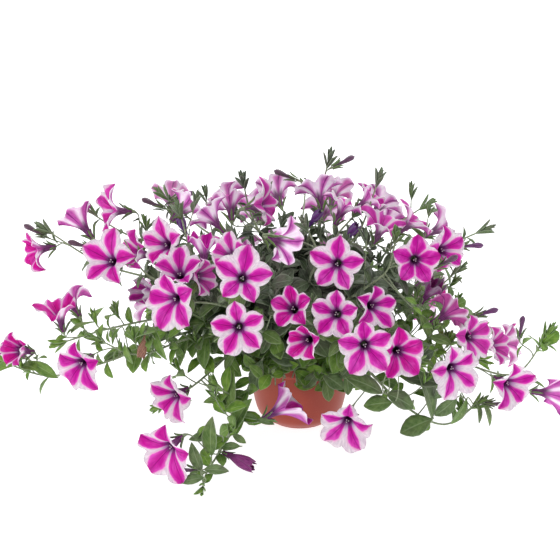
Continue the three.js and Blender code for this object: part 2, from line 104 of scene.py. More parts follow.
def tint(code):
    # a colour written as six hex digits, as the linear values that a shader takes
    parts = [int(code[i:i + 2], 16) / 255 for i in (0, 2, 4)]
    return (*[part / 12.92 if part < 0.04045 else ((part + 0.055) / 1.055) ** 2.4 for part in parts], 1)


class Wire:
    def __init__(self, tree, end=None):
        self.tree = tree
        self.end = end

    def node(self, kind, settings, inputs, output=0):
        made = self.tree.nodes.new(kind)
        for name, value in settings.items():
            setattr(made, name, value)
        for name, value in inputs.items():
            if isinstance(value, Wire):
                self.tree.links.new(value.end, made.inputs[name])
            else:
                made.inputs[name].default_value = value
        return Wire(self.tree, made.outputs[output])

    def maths(self, operation, *others):
        return self.node("ShaderNodeMath", {"operation": operation}, dict(enumerate((self, *others))))

    def __add__(self, other):
        return self.maths("ADD", other)

    def __sub__(self, other):
        return self.maths("SUBTRACT", other)

    def __mul__(self, other):
        return self.maths("MULTIPLY", other)

    def __truediv__(self, other):
        return self.maths("DIVIDE", other)

    def __rsub__(self, other):
        return self.node("ShaderNodeMath", {"operation": "SUBTRACT"}, {0: other, 1: self})

    __radd__ = __add__
    __rmul__ = __mul__

    def rise(self, low, high):
        return self.node("ShaderNodeMapRange", {"interpolation_type": "SMOOTHSTEP"},
                         {"Value": self, "From Min": low, "From Max": high})

    def blend(self, *colours):
        # the first colour where the wire is 0 and the second where it is 1
        first, second = [tint(colour) if isinstance(colour, str) else colour for colour in colours]
        return self.node("ShaderNodeMix", {"data_type": "RGBA"}, {0: self, 6: first, 7: second}, 2)

    def mottle(self, low, high, pair):
        return self.rise(low, high).blend(*pair)


def layered(colour, layers):
    # lays each colour over the ones before it, where its mask is high
    for mask, over in layers:
        colour = mask.blend(colour, over)
    return colour


def newPaint(name):
    paint = bpy.data.materials.new(name)
    paint.use_nodes = True
    return paint, Wire(paint.node_tree)


def fillPaint(paint, colour, fixed, height=None, depth=0.0):
    # links the colour, and a bump worked out from a height, to the paint's shader; where a glow
    # strength is given, the colour glows as well, which is painted light
    shader = paint.node_tree.nodes["Principled BSDF"]
    for name, value in fixed.items():
        shader.inputs[name].default_value = value
    if colour:
        paint.node_tree.links.new(colour.end, shader.inputs["Base Color"])
    if colour and "Emission Strength" in fixed:
        paint.node_tree.links.new(colour.end, shader.inputs["Emission Color"])
    if depth:
        bump = height.node("ShaderNodeBump", {}, {"Height": height, "Strength": 1.0,
                                                 "Distance": depth * metresPerMillimetre})
        paint.node_tree.links.new(bump.end, shader.inputs["Normal"])
    return paint


def grain(wire, scale, detail, source=None):
    # noise over the surface, with its scale in features per metre unless a source is given
    place = source or wire.node("ShaderNodeTexCoord", {}, {}, 3)
    return wire.node("ShaderNodeTexNoise", {}, {"Vector": place, "Scale": scale, "Detail": detail})


def mapPlace(wire):
    # across and along a piece's own map
    place = wire.node("ShaderNodeUVMap", {"uv_map": "map"}, {})
    return [wire.node("ShaderNodeSeparateXYZ", {}, {0: place}, k) for k in (0, 1)]


def valueOf(wire, name):
    # a value that was stored with the shape, such as its tone
    return wire.node("ShaderNodeAttribute", {"attribute_name": name}, {}, 2)


def mapGrain(wire, counts, scale, detail):
    # noise that is stretched over a piece's own map, and differs from tone to tone
    axes = [*mapPlace(wire), valueOf(wire, "tone")]
    scaled = {k: axis * count for k, (axis, count) in enumerate(zip(axes, counts))}
    return grain(wire, scale, detail, wire.node("ShaderNodeCombineXYZ", {}, scaled))


limbFoot = 0.4   # where the limb starts, as a share of the way from the tube's foot to the rim


def lobePlaces(wire):
    # how far from the middle of its lobe a point is, as a share of the lobe's width, how far
    # along the limb from its foot to the rim, and streaks that follow the veins
    around, along = mapPlace(wire)
    aside = ((around * 5 + 0.5).maths("FRACT") - 0.5).maths("ABSOLUTE")
    return aside, (along - limbFoot) / (1 - limbFoot), mapGrain(wire, (60, 5, 40), 1.6, 3.0)


# light shines through the thin petals
petalGloss = {
    "Roughness": 0.6,
    "Specular IOR Level": 0.1,
    "Subsurface Weight": 0.5,
    "Subsurface Radius": (1.0, 0.7, 0.9),
    "Subsurface Scale": 0.0008,
}
# the backs glow in their own colour: painted light, standing in for light that shines through the
# petals from behind
backGlossAndGlow = {**petalGloss, "Emission Strength": 0.25}

# The colours of a bloom. In a pair, the second one follows the veins unless a note says otherwise.
faceShades = {
    "white": ("EBE3E6", "C8B8C6"),
    "fringe": "EA9CCC",
    "innerWhite": "BE94C6",
    "rayEdge": "E04EC0",
    "ray": ("C2149C", "D01290"),   # of the coolest and of the pinkest bloom
    "cloud": "E062CA",
    "streak": "A00C88",
    "rayTip": "AC0A80",
    "rayFoot": "8E1A84",
    "vein": "7A0A66",
    "funnel": ("9A5094", "57205A"),
    "throat": "3A1240",
    "faded": "F1DFEA",
}
backShades = {
    # the backs' whites are painted lighter than the faces': painted light shining through the petals
    "white": ("FBF3F9", "E2C9E2"),
    "ray": ("C93EB4", "9C2690"),
    "pinkRay": "BE1090",
    "vein": "7A1C70",
    "tube": ("7E4478", "46203F"),
    "faded": "F6E8F2",
}
agedShades = {
    "violet": [("5E3A7E", "6C3264"), ("35194A", "3E1A3C")],   # each for a cool and for a pink bloom
    "brown": ("A07A66", "5E3F38"),
}
budShades = [("6C4A60", "452A3A"), ("7E3F80", "4E224E")]   # young and ripe


# how broad a lobe's coloured ray is on its face and its back, as a share of the lobe's width, and
# how much of that it gains past the middle and loses at the tip
rayPlan = {
    "breadth": 0.29,
    "swell": 0.06,
    "close": 0.33,
    "backBreadth": 0.32,
    "backClose": 0.2,
}


def aged(colour, wire, streaks):
    # a bloom that closes turns violet, and brown when it withers; a little of the violet is also
    # painted shade on a bloom that stands in shade
    ageAndShade = valueOf(wire, "ageAndShade")
    pink = valueOf(wire, "tone").rise(0.3, 0.9)
    band = streaks.rise(0.3, 0.7)
    violet = band.blend(*[pink.blend(*pair) for pair in agedShades["violet"]])
    return layered(colour, [(ageAndShade.rise(0.0, 0.5) * 0.9, violet),
                            (ageAndShade.rise(0.5, 1.0), band.blend(*agedShades["brown"]))])


def petalFace():
    paint, wire = newPaint("petal face")
    aside, limb, streaks = lobePlaces(wire)
    tone = valueOf(wire, "tone")
    cloud = mapGrain(wire, (14, 3, 30), 1.0, 2.0)
    # each coloured ray is broad past the middle of its lobe and closes in a curve at the tip
    breadth = limb.rise(0.0, 0.45) * rayPlan["swell"] - limb.rise(0.6, 1.1) * rayPlan["close"]
    breadth = breadth + rayPlan["breadth"] + valueOf(wire, "broad")
    edge = aside - breadth + (streaks - 0.5) * 0.12 + (cloud - 0.5) * 0.14
    core = 1 - edge.rise(-0.16, -0.02)
    funnel = limb + aside * 0.25 + (streaks - 0.5) * 0.2
    white = layered(streaks.mottle(0.2, 0.8, faceShades["white"]), [
        ((1 - edge.rise(0.0, 0.13)) * 0.55, faceShades["fringe"]),
        ((1 - limb.rise(0.05, 0.4)) * 0.8, faceShades["innerWhite"]),
    ])
    rose = layered(core.blend(faceShades["rayEdge"], tone.mottle(0.1, 0.9, faceShades["ray"])), [
        (cloud.rise(0.4, 0.75) * 0.55, faceShades["cloud"]),
        (streaks.rise(0.35, 0.75) * 0.5, faceShades["streak"]),
        (limb.rise(0.75, 1.0) * 0.5, faceShades["rayTip"]),
        ((1 - limb.rise(0.0, 0.35)) * 0.6, faceShades["rayFoot"]),
    ])
    colour = layered(white, [
        (1 - edge.rise(-0.035, 0.035), rose),
        ((1 - aside.rise(0.006, 0.03)) * (1 - limb.rise(0.35, 1.0) * 0.8), faceShades["vein"]),
        (1 - funnel.rise(0.02, 0.26), streaks.mottle(0.35, 0.65, faceShades["funnel"])),
        (1 - funnel.rise(-0.3, 0.05), faceShades["throat"]),
        (valueOf(wire, "pale"), faceShades["faded"]),
    ])
    return fillPaint(paint, aged(colour, wire, streaks), petalGloss, streaks, 0.6)


def petalBack():
    paint, wire = newPaint("petal back")
    aside, limb, streaks = lobePlaces(wire)
    breadth = rayPlan["backBreadth"] - limb.rise(0.68, 1.05) * rayPlan["backClose"]
    breadth = breadth + valueOf(wire, "broad")
    edge = aside - breadth + (streaks - 0.5) * 0.16
    tube = limb + (streaks - 0.5) * 0.4 - aside * 0.3
    pink = valueOf(wire, "tone").rise(0.2, 1.0) * 0.6
    rose = pink.blend(streaks.mottle(0.3, 0.7, backShades["ray"]), backShades["pinkRay"])
    colour = layered(streaks.mottle(0.2, 0.8, backShades["white"]), [
        ((1 - edge.rise(-0.22, 0.06)) * 0.9, rose),
        ((1 - aside.rise(0.01, 0.05)) * 0.8, backShades["vein"]),
        (1 - tube.rise(-0.2, 0.22), streaks.mottle(0.35, 0.65, backShades["tube"])),
        (valueOf(wire, "pale"), backShades["faded"]),
    ])
    return fillPaint(paint, aged(colour, wire, streaks), backGlossAndGlow, streaks, 0.4)


def budSkin():
    paint, wire = newPaint("bud skin")
    streaks = mapGrain(wire, (30, 4, 40), 1.5, 3.0)
    colours = [streaks.mottle(0.3, 0.7, pair) for pair in budShades]
    colour = valueOf(wire, "tone").rise(0.3, 0.8).blend(*colours)
    return fillPaint(paint, colour, {"Roughness": 0.7, "Sheen Weight": 0.5}, streaks, 0.4)


leafShades = {
    "dark": ("66755C", "4C5B43"),
    "bright": ("7CA03C", "5A8428"),
    "dusk": "6A5C5C",
    "veins": ("8E9C84", "94B464"),   # of a dark leaf and of a bright one
    "rim": "A3B095",
}


def leafSkin():
    paint, wire = newPaint("leaf skin")
    across, along = mapPlace(wire)
    tone = valueOf(wire, "tone")
    aside = (across - 0.5).maths("ABSOLUTE") * 2
    blotch = grain(wire, 240, 4.0)
    rib = (1 - aside.rise(0.03, 0.11)) * (1 - along.rise(0.6, 1.0))
    sideVein = ((along * 8 - aside * 2.0).maths("FRACT") - 0.5).maths("ABSOLUTE")
    sideVein = (1 - sideVein.rise(0.02, 0.12)) * aside.rise(0.0, 0.3) * 0.22
    green = tone.blend(*[blotch.mottle(0.3, 0.7, leafShades[name]) for name in ("dark", "bright")])
    colour = layered(green, [
        (grain(wire, 45, 2.0).rise(0.5, 0.68) * (1 - tone) * 0.55, leafShades["dusk"]),
        (rib * 0.6 + sideVein, tone.blend(*leafShades["veins"])),
        (aside.rise(0.82, 1.0) * 0.45, leafShades["rim"]),
    ])
    fixed = {"Roughness": 0.5, "Sheen Weight": 0.1, "Sheen Roughness": 0.4, "Specular IOR Level": 0.25}
    return fillPaint(paint, colour, fixed, blotch * 0.4 - rib - sideVein, 0.15)


def potPlastic():
    paint, wire = newPaint("pot plastic")
    speck = grain(wire, 1400, 2.0)
    colour = grain(wire, 18, 3.0).mottle(0.3, 0.75, ("AC422B", "963524"))
    colour = (speck.rise(0.62, 0.75) * 0.25).blend(colour, "BC7558")
    return fillPaint(paint, colour, {"Roughness": 0.42, "Specular IOR Level": 0.4}, speck, 0.06)


# The plain paints: noise scale and detail, from and to where it rises, two colours, gloss, bump
plainPaints = {
    "anther dust": (2500, 3.0, 0.3, 0.7, ("E8DFE0", "B9A3B5"), {"Roughness": 0.9}, 0),
    "stem skin": (900, 4.0, 0.3, 0.7, ("9CAA86", "6C7C56"),
                  {"Roughness": 0.7, "Sheen Weight": 0.4, "Sheen Roughness": 0.5}, 0.2),
    "potting soil": (350, 5.0, 0.35, 0.7, ("1F1610", "4A3526"),
                     {"Roughness": 0.95, "Specular IOR Level": 0.2}, 1.2),
}


def plainPaint(name):
    paint, wire = newPaint(name)
    scale, detail, low, high, pair, fixed, depth = plainPaints[name]
    fleck = grain(wire, scale, detail)
    return fillPaint(paint, fleck.mottle(low, high, pair), fixed, fleck, depth)


def draw(number):
    # a repeatable draw between 0 and 1
    value = math.sin(number * 12.9898 + 78.233) * 43758.5453
    return value - math.floor(value)


def lerp(first, second, share):
    return first + (second - first) * share


def drawn(low, high, number):
    return lerp(low, high, draw(number))


def swing(width, number):
    # a repeatable draw round 0
    return width * (draw(number) - 0.5)


def ease(low, high, value):
    share = min(1.0, max(0.0, (value - low) / (high - low)))
    return share * share * (3 - 2 * share)


def polar(distance, angle, z):
    # a place by its distance from the axis, how far round it is and its height
    return (distance * math.cos(angle), distance * math.sin(angle), z)


def between(values, share):
    # a value or point between those of a list that are spread evenly over 0 to 1
    place = min(0.9999, max(0.0, share)) * (len(values) - 1)
    low = int(place)
    return lerp(values[low], values[low + 1], place - low)


def roundedPath(places, count):
    # a smooth curve through a list of places, as count + 1 points evenly far apart
    ends = [2 * places[0] - places[1], *places, 2 * places[-1] - places[-2]]
    fine = []
    for before, start, end, after in zip(ends, ends[1:], ends[2:], ends[3:]):
        handles = (start + (end - before) / 6, end - (after - start) / 6)
        fine += interpolate_bezier(start, *handles, end, 24)[:-1]
    fine.append(places[-1])
    reached = [0.0]
    for start, end in zip(fine, fine[1:]):
        reached.append(reached[-1] + (end - start).length)
    points = []
    k = 0
    for i in range(count + 1):
        goal = reached[-1] * i / count
        while k < len(fine) - 2 and reached[k + 1] < goal:
            k += 1
        step = max(reached[k + 1] - reached[k], 1e-6)
        points.append(fine[k].lerp(fine[k + 1], min(1.0, (goal - reached[k]) / step)))
    return points


def tapered(plan, count):
    # the radii of a stalk, from its root to its tip
    shares = [(i / (count - 1)) ** plan["taper"] for i in range(count)]
    return [lerp(plan["rootRadius"], plan["tipRadius"], share) for share in shares]


def pathLength(points):
    return sum((end - start).length for start, end in zip(points, points[1:]))


def directionOn(points, share):
    low = min(int(share * (len(points) - 1)), len(points) - 2)
    return (points[low + 1] - points[low]).normalized()


def unitGrid(columns, rows):
    # a flat grid one unit wide and long round the origin, with its map
    bm = bmesh.new()
    bm.loops.layers.uv.new("map")
    bmesh.ops.create_grid(bm, x_segments=columns, y_segments=rows, size=0.5, calc_uvs=True)
    return bm


def rolledSheet(columns, rows, placeAt):
    # a sheet rolled round its own axis, with placeAt(around, along) giving each corner's place
    bm = unitGrid(columns, rows)
    for vert in bm.verts:
        vert.co = placeAt(vert.co.x + 0.5, vert.co.y + 0.5)
    bmesh.ops.remove_doubles(bm, verts=bm.verts, dist=0.001)
    bmesh.ops.reverse_faces(bm, faces=bm.faces)
    return bm


def kept(bm, name):
    mesh = bpy.data.meshes.new(name)
    bm.to_mesh(mesh)
    bm.free()
    return mesh


def blade(name, way):
    # a leaf one unit long and wide, with its foot at the origin and its upper face up
    bm = unitGrid(way["columns"], way["rows"])
    power = math.log(0.5) / math.log(way["widest"])
    droop = way["droop"]
    for vert in bm.verts:
        along = (1 - math.cos(math.pi * (vert.co.y + 0.5))) / 2
        breadth = max(0, math.sin(math.pi * along ** power)) ** way["blunt"] + way["foot"] * (1 - along)
        side = vert.co.x * breadth
        lift = 2 * way["fold"] * abs(side) + way["twist"] * along * side
        vert.co = (side, math.sin(droop * along) / droop, lift - (1 - math.cos(droop * along)) / droop)
    bmesh.ops.remove_doubles(bm, verts=bm.verts, dist=1e-5)
    bmesh.ops.solidify(bm, geom=bm.faces[:], thickness=way["thickness"])
    return kept(bm, name)


# A blade's width is a share of its length, and it is broadest at the share "widest" of its length.
# Its tip droops by an angle, its two halves fold up, and a low "blunt" rounds its ends.
bladeWays = {
    "spoon": {"columns": 2, "rows": 7, "width": 0.5, "widest": 0.62, "blunt": 0.85, "foot": 0.06,
              "droop": 0.6, "fold": 0.1, "twist": 0.1, "thickness": 0.02},
    "oval": {"columns": 4, "rows": 8, "width": 0.56, "widest": 0.52, "blunt": 0.8, "foot": 0.05,
             "droop": 0.5, "fold": 0.06, "twist": -0.08, "thickness": 0.015},
    "lance": {"columns": 2, "rows": 6, "width": 0.35, "widest": 0.54, "blunt": 0.9, "foot": 0.06,
              "droop": 0.35, "fold": 0.12, "twist": -0.15, "thickness": 0.02},
    "arched": {"columns": 2, "rows": 7, "width": 0.46, "widest": 0.57, "blunt": 0.85, "foot": 0.06,
               "droop": 1.1, "fold": 0.08, "twist": 0.12, "thickness": 0.02},
    "long": {"columns": 4, "rows": 8, "width": 0.4, "widest": 0.5, "blunt": 0.85, "foot": 0.05,
             "droop": 0.6, "fold": 0.08, "twist": 0.1, "thickness": 0.015},
    "young": {"columns": 2, "rows": 5, "width": 0.26, "widest": 0.58, "blunt": 0.85, "foot": 0.1,
              "droop": -0.2, "fold": 0.12, "twist": 0.05, "thickness": 0.04},
    "sepal": {"columns": 2, "rows": 5, "width": 0.12, "widest": 0.6, "blunt": 0.7, "foot": 0.5,
              "droop": 0.35, "fold": 0.1, "twist": 0.0, "thickness": 0.03},
}
blades = {name: blade(name, way) for name, way in bladeWays.items()}


def standOn(base, along, face):
    # the turn and place that put a blade's foot on base, pointing along, with its upper face to face
    side = along.cross(face).normalized()
    rows = Matrix((side, along, side.cross(along))).transposed()
    return Matrix.Translation(base) @ rows.to_4x4()


def newGreens():
    bm = bmesh.new()
    bm.loops.layers.uv.new("map")
    for name in ("tone", "pale", "ageAndShade", "broad"):
        bm.verts.layers.float.new(name)
    return bm


def addMesh(bm, mesh, place, values, paintNumber=None):
    # a copy of a mesh in its place
    start = len(bm.verts)
    firstFace = len(bm.faces)
    bm.from_mesh(mesh)
    bm.verts.ensure_lookup_table()
    fresh = bm.verts[start:len(bm.verts)]
    for name, value in values.items():
        layer = bm.verts.layers.float[name]
        for vert in fresh:
            vert[layer] = value
    bmesh.ops.transform(bm, matrix=place, verts=fresh)
    if paintNumber is not None:
        bm.faces.ensure_lookup_table()
        for face in bm.faces[firstFace:len(bm.faces)]:
            face.material_index = paintNumber


def addBlade(bm, kind, base, along, face, length, seed, tone):
    width = length * bladeWays[kind]["width"] * drawn(0.85, 1.15, seed + 4)
    size = Matrix.Diagonal((width, length, length, 1))
    addMesh(bm, blades[kind], standOn(base, along.normalized(), face) @ size, {"tone": tone})


def stalkMesh(stalks):
    # round stalks along lists of points, each with a radius at each point
    curve = bpy.data.curves.new("stalks", "CURVE")
    curve.dimensions = "3D"
    curve.bevel_depth = 1
    curve.bevel_resolution = 2
    curve.use_fill_caps = True
    for points, radii in stalks:
        spline = curve.splines.new("POLY")
        spline.points.add(len(points) - 1)
        for place, point, radius in zip(spline.points, points, radii):
            place.co = (*point, 1)
            place.radius = radius
    holder = bpy.data.objects.new("stalks", curve)
    mesh = bpy.data.meshes.new_from_object(holder)
    bpy.data.objects.remove(holder)
    return mesh


def finishPiece(bm, name, paints, nodes):
    # the floor holds what would sink into it
    for vert in bm.verts:
        vert.co.z = max(vert.co.z, 0)
    bmesh.ops.scale(bm, vec=(metresPerMillimetre,) * 3, verts=bm.verts)
    for face in bm.faces:
        face.smooth = True
    mesh = kept(bm, name)
    for paint in paints:
        mesh.materials.append(paint)
    piece = bpy.data.objects.new(name, mesh)
    scene.collection.objects.link(piece)
    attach(piece, "root")
    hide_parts(*nodes)
    return piece


# the places of the paints in a bloom's list
petalSlots = {"front": 0, "back": 1, "anther": 2, "bud": 3}

bloomPlan = {
    "radius": 19,
    "tubeLength": 20,
    "columns": 60,
    "rows": 16,
    # distance from the axis and height of the corolla's front, from the tube's foot to the rim
    "profile": [(1.9, -20), (2.0, -16.5), (2.4, -12.5), (3.3, -9), (5.4, -5.6), (8.8, -2.6),
                (13.4, -0.2), (19, 1.0)],
    "limbFrom": 3.1,   # where the lobes part from the tube, from the axis
    "notch": (0.19, 0.29),   # how deep the rim dips between two lobes
    "roundness": (1.4, 3.4),
    "tip": 0.08,   # the point in the middle of a lobe
    "tipShare": 0.12,
    "lean": (0.05, 0.15),   # how much longer the heavy side is
    "reach": 0.09,   # how much the lobes differ in length
    "twist": 0.05,
    "middle": 145,   # above this height the heavy side is the upper one
    "groove": 2.0,
    "swell": 1.5,
    "tilt": 8,
    "backward": 0.6,   # the share of the lobes that tilt back
    "ruffle": 1.5,
    "ripples": (6, 11, 0.6),   # large and small ripples round the rim, and the small ones' height
    "reflex": 2.2,
    "cupDepth": 6,
    "cupFold": 0.18,
    "furl": 0.3,
    "petal": 0.35,
    "anthers": 3,
    "antherHeights": (-7, -5.5),
    "antherRadius": 0.55,
}


def corolla(size, spin, seed, cup, heavy):
    # heavy is the angle of the lobes that are longest; a cup over 2 is a furled bloom
    plan = bloomPlan
    profile = roundedPath([Vector((radius, 0, z)) for radius, z in plan["profile"]], plan["rows"])
    tilts = [plan["tilt"] * (draw(seed + k) - plan["backward"]) for k in range(5)]
    reaches = [1 + swing(plan["reach"], seed + 5 + k) for k in range(5)]
    phase = 2 * math.pi * draw(seed + 11)
    roundness = drawn(*plan["roundness"], seed + 12)
    lean = drawn(*plan["lean"], seed + 13)
    notch = drawn(*plan["notch"], seed + 14)
    reflex = plan["reflex"] * draw(seed + 15)
    first, second, lesser = plan["ripples"]

    def placeAt(around, along):
        spot = between(profile, along)
        lobe = round(5 * around)
        aside = abs(2 * (5 * around - lobe))
        side = 1 if 5 * around > lobe else -1
        angle = 2 * math.pi * around + spin
        opened = ease(plan["limbFrom"], plan["radius"], spot.x)
        share = max(0.0, (spot.x - plan["limbFrom"]) / (plan["radius"] - plan["limbFrom"]))
        middle = (1 + math.cos(math.pi * aside)) / 2
        outline = 1 + (reaches[lobe % 5] - 1) * middle - notch * aside ** roundness
        outline += plan["tip"] * math.exp(-aside / plan["tipShare"])
        outline += lean * math.cos(angle - heavy)
        radius = spot.x * lerp(1, size, opened) * lerp(1, outline, share ** 1.5)
        radius *= 1 - plan["cupFold"] * cup * share
        z = spot.z + cup * plan["cupDepth"] * size * share ** 1.3
        z += tilts[lobe % 5] * middle * share ** 2
        z -= plan["groove"] * (1 - aside) ** 2 * opened
        z += plan["swell"] * math.sin(math.pi * aside) * opened
        ripple = math.sin(first * angle + phase) + lesser * math.sin(second * angle + 2 * phase)
        z += plan["ruffle"] * ripple * share ** 3
        z -= reflex * share ** 6
        angle += side * plan["twist"] * math.sin(math.pi * aside) * (draw(seed + 20 + lobe % 5) - 0.5)
        angle += plan["furl"] * max(0, cup - 1) * share
        return Vector(polar(radius, angle, z))

    bm = rolledSheet(plan["columns"], plan["rows"], placeAt)
    front = set(bm.faces)
    bmesh.ops.solidify(bm, geom=bm.faces[:], thickness=plan["petal"])
    for face in bm.faces:
        face.material_index = petalSlots["front" if face in front else "back"]
    for k in range(plan["anthers"]):
        angle = 2 * math.pi * (k + draw(seed + 30)) / plan["anthers"]
        place = Matrix.Translation(polar(1, angle, drawn(*plan["antherHeights"], seed + 40 + k)))
        made = bmesh.ops.create_icosphere(bm, subdivisions=1, radius=plan["antherRadius"], matrix=place)
        for vert in made["verts"]:
            for face in vert.link_faces:
                face.material_index = petalSlots["anther"]
    return kept(bm, "corolla")


budPlan = {
    "length": 20,
    "radius": 2.3,
    "columns": 15,
    "rows": 12,
    "outline": [0.0, 0.5, 0.52, 0.54, 0.58, 0.66, 0.78, 0.92, 1.0, 0.9, 0.0],
    "ridge": 0.13,
    "turns": 0.35,
    "sepalLength": 10,
}


def budMesh():
    plan = budPlan

    def placeAt(around, along):
        angle = 2 * math.pi * (around + plan["turns"] * along)
        ridge = 1 + plan["ridge"] * math.cos(10 * math.pi * around)
        radius = plan["radius"] * between(plan["outline"], along) * ridge
        return Vector(polar(radius, angle, plan["length"] * along))

    return kept(rolledSheet(plan["columns"], plan["rows"], placeAt), "bud")


bud = budMesh()


def facingTurn(base, facing):
    return Matrix.Translation(base) @ upward.rotation_difference(facing).to_matrix().to_4x4()


